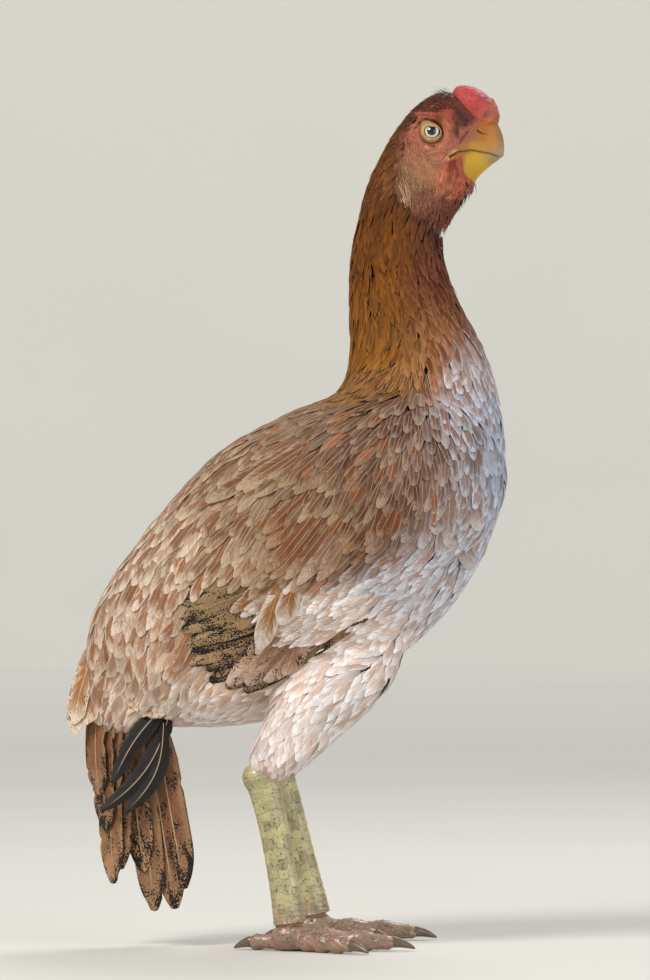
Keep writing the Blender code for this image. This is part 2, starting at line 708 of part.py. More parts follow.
def build_comb(parts, skull_space):
    """A low pea comb: a smooth mound down the forehead with three rows of bulbs on its front."""
    x, z = COMB_AT
    c, s = math.cos(COMB_SLOPE), math.sin(COMB_SLOPE)

    def on_comb(swing, lean, share=1.0):
        """A point of the mound, swing from its top towards the bill and lean to the side."""
        u = COMB_SIZE[0] * share * math.sin(swing) * math.cos(lean)
        w = COMB_SIZE[2] * share * math.cos(swing) * math.cos(lean)
        return x + u * c - w * s, COMB_SIZE[1] * share * math.sin(lean), z + u * s + w * c

    def place(ring, angle):
        return on_comb(angle, math.pi * (0.5 - ring / COMB_RINGS))

    comb = ball("comb", parts, COMB_SEGMENTS, COMB_RINGS, place)
    pieces = make_collection("comb_bulbs")
    for row, count in enumerate(COMB_ROWS):
        for i in range(count):
            aside = row - len(COMB_ROWS) // 2
            swing = math.radians(BULB_START + BULB_STEP * i + BULB_LATER * abs(aside))
            at = on_comb(swing, math.radians(BULB_LEAN) * aside, BULB_SUNK)
            ellipsoid(f"bulb_{row}_{i}", pieces, at, (BULB_R, BULB_R, BULB_R), 8, 6)
    fuse(comb, pieces)
    cut(comb, skull_space)
    fewer(comb, COMB_SHARE)
    return finish(comb, "comb_red", sharp=60)


def head_side(x, z, side, lift):
    """A point on the side of the head as the side view shows it, and the normal there."""
    best = None
    for t in np.linspace(HEAD_CUT, SKIN_END - SKULL_LEAVES, SKULL_STEPS):
        back, belly, _, _ = section(t)
        reach, offset = (back - belly) / 2, np.array((x, z)) - (back + belly) / 2
        away = abs(reach[0] * offset[1] - reach[1] * offset[0]) / np.linalg.norm(reach)
        c = float(np.dot(offset, reach) / np.dot(reach, reach))
        if abs(c) < 1 and (best is None or away < best[0]):
            best = (away, t, c)
    _, t, c = best
    angle = math.acos(c)
    normal = skin_normal(t, angle)
    point = skin_flat(t, angle) + normal * lift
    mirrored = np.array((1, side, 1))
    return point * mirrored, normal * mirrored


def lid_ring(name, pieces, centre, normal):
    """The bare rim of the eyelids: a torus, longer than it is high, facing along the normal."""
    bpy.ops.mesh.primitive_torus_add(
        major_segments=LID_TURNS,
        minor_segments=LID_SIDES,
        major_radius=LID_RING * MM,
        minor_radius=LID_R * MM,
    )
    ring = bpy.context.object
    ring.name = name
    for holder in list(ring.users_collection):
        holder.objects.unlink(ring)
    pieces.objects.link(ring)
    out = Vector(normal)
    ahead = (Vector((1, 0, 0)) - out * out.x).normalized()
    turned = Matrix((ahead, out.cross(ahead), out)).transposed().to_4x4()
    ring.data.transform(turned @ Matrix.Diagonal((LID_LONG, 1, 1, 1)))
    ring.data.transform(Matrix.Translation(Vector(centre) * MM))
    return ring


def bill_outline(inset):
    """The side-view outline of the space that the bill is cut from, set in by some millimetres."""
    base = [(x + inset, z) for x, z in BILL_BASE]
    return (*base, (BILL_AHEAD, BILL_BASE[-1][1]), (BILL_AHEAD, BILL_BASE[0][1]))


def rounded_relief(x, z):
    """How far the face stands out or in where the side view shows x, z."""
    height = 0.0
    for start, end, spread, rise in FACE_RELIEF:
        a, b, at = np.array(start, float), np.array(end, float), np.array((x, z))
        line = b - a
        share = min(1.0, max(0.0, np.dot(at - a, line) / max(np.dot(line, line), 1e-9)))
        height += rise * math.exp(-((np.linalg.norm(at - a - line * share) / spread) ** 2))
    return height


def build_bill(parts, cutters):
    """Upper and lower bill, the horn that the head carries, with slit nostrils in the upper one."""
    made = []
    for word, sign in (("upper", 1), ("lower", -1)):
        domes = (0, HEAD_DOME)
        bill = flesh(f"beak_{word}", parts, BILL_FROM, SKIN_END, BILL_RINGS, BILL_SEGMENTS, poles=domes)
        keep_box = slab(f"bill_space_{word}", cutters, bill_outline(GAP), -WIDE, WIDE)
        boolean(bill, "INTERSECT", keep_box)
        keep_box.hide_render = True
        edge = [(x, z + GAP / 2 * sign) for x, z in MOUTH_LINE]
        far = MOUTH_LINE[0][1] - MOUTH_REACH * sign
        past = [*edge, (MOUTH_LINE[-1][0], far), (MOUTH_LINE[0][0], far)]
        cut(bill, slab(f"other_half_{word}", cutters, past, -WIDE, WIDE))
        if word == "upper":
            flaps = make_collection("nostril_flaps")
            for side in SIDES.values():
                above, _ = head_side(NOSTRIL_AT[0] + FLAP_OVER[0], NOSTRIL_AT[1] + FLAP_OVER[1], side, -0.2)
                tilted("flap", flaps, above, FLAP_SIZE, NOSTRIL_SLOPE)
            fuse(bill, flaps)
            for side in SIDES.values():
                centre, _ = head_side(*NOSTRIL_AT, side, 0.3)
                cut(bill, tilted("nostril", cutters, centre, NOSTRIL_SIZE, NOSTRIL_SLOPE))
        made.append(finish(bill, "bill_yellow"))
    return made


def build_eye(parts, word, side):
    """An eyeball in its socket."""
    at, normal = head_side(*EYE_AT, side, 0.0)
    centre = at - normal * EYE_SUNK
    eye = ellipsoid(f"eye_{word}", parts, centre, (EYE_R, EYE_R, EYE_R), 12, 8)
    return finish(eye, "eye_pearl")


def skull(name, collection, lift, start_gap):
    """The head's closed form with its relief, up to the tip of the bill."""
    shape = (HEAD_CUT, SKIN_END, HEAD_RINGS, HEAD_SEGMENTS, lift, start_gap, (0, HEAD_DOME), rounded_relief)
    return flesh(name, collection, *shape)


def build_head(parts, cutters):
    """The head without its bill: brows, cheeks and jaw, lids, sockets, ears and mouth corners."""
    head = skull("head", parts, 0.0, GAP)
    cut(head, slab("bill_room", cutters, bill_outline(0.0), -WIDE, WIDE))
    pieces = make_collection("head_forms")
    for word, side in SIDES.items():
        at, normal = head_side(*EYE_AT, side, 0.0)
        lid_ring(f"lids_{word}", pieces, at - normal * 0.2, normal)
        over, _ = head_side(*UPPER_LID_AT, side, 0.2)
        tilted(f"upper_lid_{word}", pieces, over, UPPER_LID_SIZE, UPPER_LID_SLOPE, 10, 6)
    fuse(head, pieces)
    for word, side in SIDES.items():
        at, normal = head_side(*EYE_AT, side, 0.0)
        r = EYE_R + GAP
        cut(head, ellipsoid(f"socket_{word}", cutters, at - normal * EYE_SUNK, (r, r, r), 12, 8))
        cup, _ = head_side(*EAR_AT, side, 0.4)
        cut(head, ellipsoid(f"ear_cup_{word}", cutters, cup, EAR_SIZE, 8, 6))
        crease = []
        for x, z in MOUTH_LINE[:3]:
            corner, _ = head_side(x, z, side, 0.5)
            crease.append(((corner[0], abs(corner[1]), corner[2]), *MOUTH_CREASE))
        cut(head, tube(f"mouth_{word}", cutters, crease, 6, 6, side=side))
    fewer(head, HEAD_SHARE)
    return finish(head, "face_red", sharp=50)


def leaning(stations, word):
    """A leg's stations, set forward more and more from the hip down to the foot."""
    moved = []
    for (x, y, z), fore, across in stations:
        share = (HIP_HEIGHT - z) / (HIP_HEIGHT - ANKLE_HEIGHT)
        moved.append(((x + LEG_FORWARD[word] * share, y, z), fore, across))
    return moved


def build_leg(parts, cutters, word, side, torso_space):
    """Thigh, shank and foot of one leg, with the claws as parts of their own."""
    thigh_way, shank_way = leaning(THIGH, word), leaning(SHANK, word)
    thigh = tube(f"thigh_{word}", parts, thigh_way, THIGH_SEGMENTS, THIGH_RINGS, side)
    cut(thigh, torso_space)
    (ax, az), (bx, bz) = WING_LOWER_EDGE
    over_line = ((ax, az), (bx, bz), (bx, bz + WING_ROOM), (ax, az + WING_ROOM))
    cut(thigh, slab(f"wing_room_{word}", cutters, over_line, -WIDE, WIDE))
    finish(thigh, "plumage_fluff")

    shank = tube(f"shank_{word}", parts, shank_way, SHANK_SEGMENTS, 2 * SCUTES + 2, side, SCUTES)
    knee_down = [(at, fore + GAP, across + GAP) for at, fore, across in thigh_way]
    cut(shank, tube(f"thigh_space_{word}", cutters, knee_down, THIGH_SEGMENTS, THIGH_RINGS, side))
    finish(shank, "leg_yellow")
    build_foot(parts, cutters, word, side, shank_way)


def toe_axis(heading, side, hub):
    """The way a toe points and the level way across it."""
    turn = math.radians(heading) * side
    ahead = np.array((math.cos(turn), math.sin(turn), 0.0))
    return np.array((hub[0], hub[1] * side, 0.0)), ahead, np.array((-ahead[1], ahead[0], 0.0))


def build_foot(parts, cutters, word, side, shank_way):
    """A foot: hub and four toes with pads under them and scutes over them, on small level flats."""
    hub = (HUB_AT[0] + LEG_FORWARD[word], HUB_AT[1], HUB_AT[2])
    foot = ellipsoid(f"foot_{word}", parts, (hub[0], hub[1] * side, hub[2]), HUB_SIZE)
    pieces = make_collection(f"toes_{word}")
    for toe in TOES:
        build_toe(pieces, toe, side, hub)
    (x, y, z), fore, wide = shank_way[-1]
    ankle = (
        ((x, y, z + ANKLE_OVER), fore, wide),
        ((hub[0], hub[1], hub[2] - ANKLE_UNDER), fore + ANKLE_GROWS[0], wide + ANKLE_GROWS[1]),
    )
    tube("ankle", pieces, ankle, ANKLE_SEGMENTS, ANKLE_RINGS, side)
    fuse(foot, pieces)
    cut(foot, slab(f"floor_{word}", cutters, FLOOR_BOX, -WIDE, WIDE))
    cut(foot, shank_room(word, cutters, shank_way))
    fewer(foot, FOOT_SHARE)
    finish(foot, "leg_yellow")
    for toe in TOES:
        build_claw(parts, word, side, toe, hub)


def build_toe(pieces, toe, side, hub):
    """One toe: scutes over it, pads under its joints."""
    heading, length, root_r, end_r, scutes = TOES[toe]
    origin, ahead, across = toe_axis(heading, side, hub)
    rings = 2 * scutes + 2

    def place(ring, angle):
        share = scute_share(min(rings - 1, max(1, ring)), scutes)
        radius = root_r + (end_r - root_r) * share
        height = radius - PAD_DEPTH * 0.5
        centre = origin + ahead * (TOE_START + length * share) + np.array((0.0, 0.0, height))
        if ring in (0, rings):
            return centre
        up, out = math.cos(angle), math.sin(angle)
        step = (TOE_SCUTE_STEP if ring % 2 else 0.0) * max(0.0, up)
        swell = PAD_WAVE[0] - PAD_WAVE[1] * math.cos(math.pi * share * scutes)
        grow = radius + step + PAD_DEPTH * max(0.0, -up) * swell
        if ring == rings - 1:
            grow = radius * TOE_END
        return centre + across * out * grow * TOE_WIDE + np.array((0.0, 0.0, up * grow))

    ball(f"toe_{toe}", pieces, TOE_SEGMENTS, rings, place)


def shank_room(word, cutters, shank_way):
    """The box over the foot that the shank stands in, square to the shank's end."""
    end, above = np.array(shank_way[-1][0], float), np.array(shank_way[-2][0], float)
    axis = (above - end) / np.linalg.norm(above - end)
    level = np.array((axis[2], 0.0, -axis[0]))
    base, (half, high) = end - axis * GAP, SHANK_ROOM
    corners = (
        base + level * half,
        base - level * half,
        base - level * half + axis * high,
        base + level * half + axis * high,
    )
    return slab(f"shank_room_{word}", cutters, [(c[0], c[2]) for c in corners], -WIDE, WIDE)


def build_claw(parts, word, side, toe, hub):
    """A short blunt claw, curved down from the end of its toe."""
    heading, length, _, end_r, _ = TOES[toe]
    origin, ahead, across = toe_axis(heading, side, hub)
    high = end_r - PAD_DEPTH * 0.5 + CLAW_OVER
    reach = CLAW_LENGTH * (HIND_CLAW if toe == "hind" else 1.0)

    def place(ring, angle):
        share = max(0.0, (ring - 1) / (CLAW_RINGS - 1))
        rise = np.array((0.0, 0.0, high - CLAW_DROP * share**CLAW_CURVE))
        centre = origin + ahead * (TOE_START + length + GAP + reach * share) + rise
        if ring in (0, CLAW_RINGS):
            return centre
        radius = CLAW_R * (1 - share) ** CLAW_TAPER + CLAW_POINT
        up = np.array((0.0, 0.0, math.cos(angle) * radius))
        return centre + across * math.sin(angle) * radius * CLAW_WIDE + up

    claw = ball(f"claw_{word}_{toe}", parts, CLAW_SEGMENTS, CLAW_RINGS, place)
    return finish(claw, "claw_horn")


def hang_on_empty(parts, cutters):
    """Gives each object an origin of its own and parents all to an empty under the hen's middle."""
    along = [vertex.co.x for obj in parts.objects for vertex in obj.data.vertices]
    stand = bpy.data.objects.new("hen_origin", None)
    stand.location.x = -(min(along) + max(along)) / 2
    for obj in (*parts.objects, *cutters.objects):
        points = np.array([vertex.co for vertex in obj.data.vertices])
        centre = Vector((points.min(axis=0) + points.max(axis=0)) / 2)
        obj.data.transform(Matrix.Translation(-centre))
        obj.location = centre
        obj.parent = stand
    parts.objects.link(stand)


def build_hen():
    """Builds every part in order."""
    clear_scene()
    parts = make_collection("aseel_hen")
    cutters = make_collection("cutters")
    cutters.hide_render = True

    trunk = (0.0, NECK_CUT, TORSO_RINGS, TORSO_SEGMENTS)
    finish(flesh("torso", parts, *trunk, poles=(STERN_DOME, 0)), "plumage_buff")
    torso_space = flesh("torso_space", cutters, *trunk, lift=GAP, poles=(STERN_DOME, 0))
    neck = flesh("neck", parts, NECK_CUT, HEAD_CUT, NECK_RINGS, NECK_SEGMENTS, start_gap=GAP)
    finish(neck, "hackle_gold")

    for word, side in SIDES.items():
        build_wing(parts, word, side, torso_space)
        build_leg(parts, cutters, word, side, torso_space)
        build_eye(parts, word, side)
    build_tail(parts, torso_space)
    build_head(parts, cutters)
    build_bill(parts, cutters)
    build_comb(parts, skull("skull_space", cutters, COMB_GAP, 0.0))

    for name in ("neck", "head", "comb", "beak_upper", "beak_lower", "eye_right", "eye_left"):
        turn_head(bpy.data.objects[name])
    hang_on_empty(parts, cutters)


build_hen()
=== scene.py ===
"""The looks of a life-size aseel hen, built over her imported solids.

Shapes are worked out in millimetres in the hen's own frame: X runs towards the bill, Y to her
left and Z up from the floor, with her head still straight. A mesh is turned at the neck, moved
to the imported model's place and scaled to metres only when it is made.
"""

import logging
import math
from dataclasses import dataclass, field, replace
from enum import Enum
from functools import partial
from typing import Any, Callable, Sequence

import bmesh
import bpy
import numpy as np
from mathutils import Matrix, Vector
from mathutils.kdtree import KDTree


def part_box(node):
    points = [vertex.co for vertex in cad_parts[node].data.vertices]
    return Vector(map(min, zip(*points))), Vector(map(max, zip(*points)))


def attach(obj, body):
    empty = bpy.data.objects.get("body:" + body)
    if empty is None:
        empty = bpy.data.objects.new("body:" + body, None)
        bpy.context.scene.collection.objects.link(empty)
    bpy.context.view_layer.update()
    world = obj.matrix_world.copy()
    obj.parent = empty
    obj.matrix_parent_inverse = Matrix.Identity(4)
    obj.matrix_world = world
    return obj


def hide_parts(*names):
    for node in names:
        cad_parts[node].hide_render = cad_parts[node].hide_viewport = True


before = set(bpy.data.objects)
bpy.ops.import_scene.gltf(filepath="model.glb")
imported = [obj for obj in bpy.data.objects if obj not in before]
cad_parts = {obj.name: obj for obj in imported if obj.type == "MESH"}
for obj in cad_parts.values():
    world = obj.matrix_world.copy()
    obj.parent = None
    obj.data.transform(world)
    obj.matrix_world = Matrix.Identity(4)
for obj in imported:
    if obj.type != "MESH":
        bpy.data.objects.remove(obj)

LOG = logging.getLogger("hen")
Array = np.ndarray
Pair = tuple[float, float]
Triple = tuple[float, float, float]

MM = 0.001
AHEAD, LEFT, UP = np.eye(3)
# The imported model's origin is under the middle of its box; the tail ends at -130.3 in the hen's own frame.
FRAME_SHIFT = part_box("tail")[0][0] / MM + 130.3
SIDES = {"right": -1, "left": 1}
BAKE_MAP = "OFBake"
PATCH = 0.003  # size of a feather's patch on that map


class Noise(Enum):
    """Seeds of the random draws, one for each tract of feathers."""

    COAT = 11
    WING = 23
    TAIL = 37
    HAIR = 51
    SCALES = 67


# The form: back x, z; belly x, z; half width; share by which the belly side is narrower.
SECTIONS = {
    "stern": (-114, 166, -80, 131, 13, 0.00),
    "rump": (-108, 193, -46, 129, 30, 0.00),
    "saddle": (-92, 220, -10, 133, 44, 0.02),
    "loin": (-68, 251, 31, 147, 56, 0.06),
    "back": (-36, 284, 67, 171, 64, 0.12),
    "shoulders": (3, 306, 100, 206, 67, 0.14),
    "wrist": (30, 318, 120, 246, 62, 0.12),
    "cape": (38, 332, 125, 287, 49, 0.06),
    "neck_root": (40, 350, 121, 321, 36, 0.00),
    "neck_low": (39, 367, 113, 346, 28, -0.04),
    "neck_mid": (39, 383, 102, 368, 23, -0.06),
    "neck_high": (40, 401, 93, 390, 20, -0.04),
    "throat": (44, 420, 91, 409, 18, 0.00),
    "nape": (49, 440, 98, 424, 17.5, 0.06),
    "ear": (58, 461, 104, 433, 18, 0.12),
    "eye": (72, 482, 108, 438, 18.5, 0.22),
    "brow": (89, 494, 110, 441, 16, 0.20),
    "forehead": (106, 491.5, 111, 444, 11.5, 0.10),
    "cere": (120, 480.5, 113.5, 447, 7.8, 0.0),
    "bill": (125.8, 470.5, 119, 452, 5.4, -0.05),
    "hook": (127, 462, 123, 455, 2.6, 0.0),
}
NAMES = list(SECTIONS)
FORM_END = len(NAMES) - 1.0
NECK_FROM = NAMES.index("neck_root") - 0.35
FLANK_TO = NAMES.index("neck_root") + 0.6
HEAD_TO = FORM_END - 0.6
HALVINGS = 22  # how often a search by halves goes on
HEAD_FROM = NAMES.index("nape") + 0.30
BILL_FROM = HEAD_FROM + 1.4
FULLNESS, WING_FULLNESS = 0.82, 0.66
HEAD_TURN, TURN_AXIS_X, TURN_FROM, TURN_TO = math.radians(-4.0), 72, 385, 455

BILL_BASE = ((120.5, 490), (101, 460.2), (103.5, 454.5), (104.5, 448), (114, 440))
MOUTH_LINE = ((93.7, 455.4), (101, 459.5), (109, 460.8), (119, 459.2), (140, 451.5))
EYE_AT, EYE_R, EYE_SUNK = (86.3, 471.3), 6.3, 3.4
COMB_AT, COMB_SLOPE, COMB_SIZE = (110.2, 486.5), math.radians(-40), (15.0, 10.6, 9.6)


def linear(code: str) -> tuple[float, float, float, float]:
    """A colour's linear values.

    Args:
        code: six hex digits of the sRGB colour, after a hash sign.

    Returns:
        Red, green, blue and full alpha.
    """
    parts = [int(code[i : i + 2], 16) / 255 for i in (1, 3, 5)]
    red, green, blue = (p / 12.92 if p <= 0.04045 else ((p + 0.055) / 1.055) ** 2.4 for p in parts)
    return red, green, blue, 1.0


def step(low: float, high: float, value: Array) -> Array:
    """0 below low, 1 above high and a smooth rise between, for each value."""
    share = np.clip((np.asarray(value, float) - low) / (high - low), 0.0, 1.0)
    return share * share * (3 - 2 * share)


def unit(vectors: Array) -> Array:
    """The vectors at length 1."""
    return vectors / np.maximum(np.linalg.norm(vectors, axis=-1, keepdims=True), 1e-9)


def wobble(points: Array, size: float, seed: float = 0.0) -> Array:
    """Smooth noise between about -1 and 1.

    Args:
        points: one place a row.
        size: rough size of a hump, in the points' unit.
        seed: shifts the pattern.

    Returns:
        One value a point.
    """
    p = np.asarray(points, float) / size
    total = np.zeros(p.shape[:-1])
    for i, turn in enumerate(((1.0, 0.7, -0.4), (-0.6, 1.1, 0.5), (0.8, -0.5, 1.2), (0.3, 0.9, -1.3))):
        warp = 0.9 * np.sin(1.7 * p[..., i % 3] + 2.1 * i + seed)
        total += np.sin(p @ np.array(turn) * 2.2 + warp + 1.3 * i * seed + seed)
    return total / 3.0


def bezier(points: Sequence[Pair], share: Array) -> Array:
    """The quadratic curve from the first to the last of three points, drawn to the middle one."""
    a, b, c = (np.array(p, float) for p in points)
    s = np.asarray(share, float)[..., None]
    return a * (1 - s) ** 2 + b * 2 * s * (1 - s) + c * s**2


def between(pair: Pair, share: Array) -> Array:
    """Values on the way from the first number to the second."""
    return pair[0] + (pair[1] - pair[0]) * share


def through(rows: Array, t: Array) -> Array:
    """The smooth curve through all the rows, at t rows from the first."""
    last = len(rows) - 1
    t = np.clip(np.asarray(t, float), 0, last)
    i = np.minimum(t.astype(int), last - 1)
    u = (t - i)[..., None]
    a, b, c, d = (rows[np.clip(i + k, 0, last)] for k in (-1, 0, 1, 2))
    return 0.5 * (2 * b + (c - a) * u + (2 * a - 5 * b + 4 * c - d) * u**2 + (3 * b - 3 * c + d - a) * u**3)


def inside(x: Array, z: Array, corners: Sequence[Pair]) -> Array:
    """Which side-view places lie within an outline."""
    within = np.zeros(np.shape(x), bool)
    for (ax, az), (bx, bz) in zip(corners, (*corners[1:], corners[0])):
        crosses = (az > z) != (bz > z)
        within ^= crosses & (x < (bx - ax) * (z - az) / ((bz - az) or 1e-9) + ax)
    return within


def near_line(points: Array, line: Sequence[Pair]) -> tuple[Array, Array]:
    """How far side-view points lie from a broken line.

    Args:
        points: x, z rows.
        line: the line's corners.

    Returns:
        The distance of each point, and how far along the line its foot is, from 0 to 1.
    """
    best = np.full(len(points), 1e9)
    along = np.zeros(len(points))
    for i, (a, b) in enumerate(zip(line[:-1], line[1:])):
        start, reach = np.array(a, float), np.array(b, float) - np.array(a, float)
        share = np.clip((points - start) @ reach / max(float(reach @ reach), 1e-9), 0, 1)
        away = np.linalg.norm(points - start - share[:, None] * reach, axis=1)
        nearer = away < best
        best = np.where(nearer, away, best)
        along = np.where(nearer, (i + share) / (len(line) - 1), along)
    return best, along


@dataclass(frozen=True)
class Form:
    """The hen's outline as a loft of plane sections, with angle 0 on her back and pi on her belly."""

    table: Array = field(default_factory=lambda: np.array(list(SECTIONS.values()), float))

    def point(self, t: Array, angle: Array, fullness: float = FULLNESS) -> Array:
        """Places on the form, in millimetres."""
        t, angle = np.broadcast_arrays(np.asarray(t, float), np.asarray(angle, float))
        row = through(self.table, t)
        c, s = np.cos(angle), np.sin(angle)
        back, belly = row[..., 0:2], row[..., 2:4]
        flat = (back + belly) / 2 + (back - belly) / 2 * c[..., None]
        across = row[..., 4] * np.abs(s) ** fullness * (1 + row[..., 5] * c)
        return np.stack((flat[..., 0], np.copysign(across, s), flat[..., 1]), -1)

    def along(self, t: Array, angle: Array, fullness: float = FULLNESS) -> Array:
        """The way towards the bill there, at length 1."""
        low, high = np.maximum(np.asarray(t) - 0.02, 0), np.minimum(np.asarray(t) + 0.02, FORM_END)
        return unit(self.point(high, angle, fullness) - self.point(low, angle, fullness))

    def normal(self, t: Array, angle: Array, fullness: float = FULLNESS) -> Array:
        """The outward way there, at length 1."""
        before, after = (self.point(t, np.asarray(angle) + d, fullness) for d in (-0.02, 0.02))
        return unit(np.cross(self.along(t, angle, fullness), after - before))

    def locate(self, x: Array, z: Array, low: float, high: float) -> tuple[Array, Array]:
        """Where the side view shows x, z.

        Args:
            x: places along.
            z: places up.
            low: first section looked at.
            high: last section looked at.

        Returns:
            The section parameter and the cosine of the angle of each place.
        """
        at = np.stack((x, z), -1)

        def side(t: Array) -> Array:
            """On which side of the section's middle line, back to belly, each place lies."""
            row = through(self.table, t)
            line, offset = row[..., 2:4] - row[..., 0:2], at - row[..., 0:2]
            return line[..., 0] * offset[..., 1] - line[..., 1] * offset[..., 0]

        steps = np.linspace(low, high, 60)
        signs = np.stack([side(np.full(len(at), s)) for s in steps])
        crossed = signs[:-1] * signs[1:] <= 0
        end = np.where(np.abs(signs[0]) < np.abs(signs[-1]), 0, len(steps) - 2)
        first = np.where(crossed.any(0), crossed.argmax(0), end)
        a, b = steps[first], steps[first + 1]
        start = side(a)
        for _ in range(HALVINGS):
            middle = (a + b) / 2
            same = side(middle) * start > 0
            a, b = np.where(same, middle, a), np.where(same, b, middle)
        t = (a + b) / 2
        row = through(self.table, t)
        centre, reach = (row[..., 0:2] + row[..., 2:4]) / 2, (row[..., 0:2] - row[..., 2:4]) / 2
        return t, ((at - centre) * reach).sum(-1) / (reach * reach).sum(-1)

    def on_wing(self, x: Array, z: Array, side: int, lift: Array) -> Array:
        """Places over her flank as the side view shows them, lifted off the body.

        Args:
            x: places along.
            z: places up.
            side: -1 on her right and 1 on her left.
            lift: height over the body.

        Returns:
            One point a place.
        """
        t, c = self.locate(x, z, 0.0, FLANK_TO)
        angle = np.arccos(np.clip(c, -0.96, 0.96))
        flat, normal = self.point(t, angle, WING_FULLNESS), self.normal(t, angle, WING_FULLNESS)
        placed = flat + normal * (lift / np.maximum(0.35, np.abs(normal[..., 1])))[..., None]
        kept = np.stack((x, placed[..., 1], z), -1)
        placed = placed * 0.4 + kept * 0.6
        placed[..., 1] = np.abs(placed[..., 1]) * side
        return placed

    def on_head(self, x: float, z: float, side: int, lift: float = 0.0) -> tuple[Array, Array]:
        """A place on the side of the head as the side view shows it, and the outward way there."""
        t, c = self.locate(np.array([x]), np.array([z]), HEAD_FROM, HEAD_TO)
        angle = np.arccos(np.clip(c, -1, 1))
        normal = self.normal(t, angle)[0]
        point = self.point(t, angle)[0] + normal * lift
        mirrored = np.array((1, side, 1))
        return point * mirrored, normal * mirrored


FORM = Form()


def to_world(points: Array) -> Array:
    """The hen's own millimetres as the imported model's metres, with the head turned a little aside."""
    share = step(TURN_FROM, TURN_TO, points[..., 2]) * HEAD_TURN
    c, s = np.cos(share), np.sin(share)
    x, y = points[..., 0] - TURN_AXIS_X, points[..., 1]
    turned = np.stack((x * c - y * s + TURN_AXIS_X, x * s + y * c, points[..., 2]), -1)
    return (turned + np.array((FRAME_SHIFT, 0, 0))) * MM


def make_object(name: str, points: Array, faces: Sequence[Array], placed: bool = True) -> bpy.types.Object:
    """A mesh object from arrays.

    Args:
        name: the object's name.
        points: millimetres, one row a vertex.
        faces: arrays of vertex numbers, each with as many columns as its faces have corners.
        placed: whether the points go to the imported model's frame, or stay in the hen's own.

    Returns:
        The object, linked to the scene.
    """
    mesh = bpy.data.meshes.new(name)
    flat = to_world(points) if placed else points * MM
    mesh.vertices.add(len(flat))
    mesh.vertices.foreach_set("co", flat.astype(np.float32).ravel())
    loops = np.concatenate([f.ravel() for f in faces])
    totals = np.concatenate([np.full(len(f), f.shape[1]) for f in faces])
    mesh.loops.add(len(loops))
    mesh.loops.foreach_set("vertex_index", loops.astype(np.int32))
    mesh.polygons.add(len(totals))
    mesh.polygons.foreach_set("loop_start", np.concatenate(([0], np.cumsum(totals)[:-1])).astype(np.int32))
    mesh.update(calc_edges=True)
    mesh.validate()
    mesh.shade_smooth()
    obj = bpy.data.objects.new(name, mesh)
    bpy.context.scene.collection.objects.link(obj)
    return obj


def put(mesh: bpy.types.Mesh, name: str, kind: str, values: Array, domain: str = "POINT") -> None:
    """Stores an attribute on a mesh, one row a point.

    Args:
        mesh: the mesh.
        name: the attribute's name.
        kind: FLOAT, FLOAT_VECTOR or FLOAT_COLOR.
        values: one row a point.
        domain: where the values sit.
    """
    attribute = mesh.attributes.new(name, kind, domain)
    key = {"FLOAT": "value", "FLOAT_VECTOR": "vector", "FLOAT_COLOR": "color"}[kind]
    attribute.data.foreach_set(key, np.ascontiguousarray(values, np.float32).ravel())


def pull(rows: Any, key: str, width: int, kind: type = np.float32) -> Array:
    """A value of all of a mesh's vertices, corners, edges or faces, as rows of so many numbers."""
    found = np.empty(len(rows) * width, kind)
    rows.foreach_get(key, found)
    return found.reshape(-1, width)


def corners_of(mesh: bpy.types.Mesh) -> Array:
    """The vertex at each corner of the mesh's faces."""
    return pull(mesh.loops, "vertex_index", 1, np.int32)[:, 0]


def put_map(mesh: bpy.types.Mesh, values: Array) -> None:
    """Stores the bake's UV map, from one place a vertex."""
    layer = mesh.uv_layers.new(name=BAKE_MAP)
    layer.data.foreach_set("uv", values[corners_of(mesh)].astype(np.float32).ravel())


def vertices(mesh: bpy.types.Mesh, key: str = "co") -> Array:
    """A mesh's vertex places or normals, as rows."""
    return pull(mesh.vertices, key, 3).astype(float)


def move_to(obj: bpy.types.Object, points: Array) -> bpy.types.Object:
    """Puts an object's vertices at these places, in metres."""
    obj.data.vertices.foreach_set("co", points.astype(np.float32).ravel())
    obj.data.update()
    return obj


def strips(grid: Array) -> Array:
    """The four-cornered faces between rows of vertex numbers, where each row goes once round."""
    after = np.roll(grid, -1, axis=-1)
    faces = np.stack((grid[..., :-1, :], after[..., :-1, :], after[..., 1:, :], grid[..., 1:, :]), -1)
    return faces.reshape(-1, 4)


def adopt(name: str, mesh: bmesh.types.BMesh) -> bpy.types.Object:
    """A new object in the scene from an edited mesh."""
    obj = bpy.data.objects.new(name, bpy.data.meshes.new(name))
    mesh.to_mesh(obj.data)
    mesh.free()
    bpy.context.scene.collection.objects.link(obj)
    return obj


def face_outwards(obj: bpy.types.Object) -> bpy.types.Object:
    """Turns a closed body's faces outwards."""
    mesh = bmesh.new()
    mesh.from_mesh(obj.data)
    if mesh.calc_volume(signed=True) < 0:
        bmesh.ops.reverse_faces(mesh, faces=mesh.faces[:])
    mesh.to_mesh(obj.data)
    mesh.free()
    return obj


def fit(piece: bpy.types.Object, finish: bpy.types.Material, slot: str, *nodes: str) -> bpy.types.Object:
    """Finishes a piece that belongs to the hen's one body.

    Args:
        piece: the object.
        finish: its material.
        slot: the record's slot; not used.
        *nodes: the solids that it takes the place of.

    Returns:
        The piece.
    """
    piece.data.materials.clear()
    piece.data.materials.append(finish)
    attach(piece, "root")
    if nodes:
        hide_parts(*nodes)
    return piece


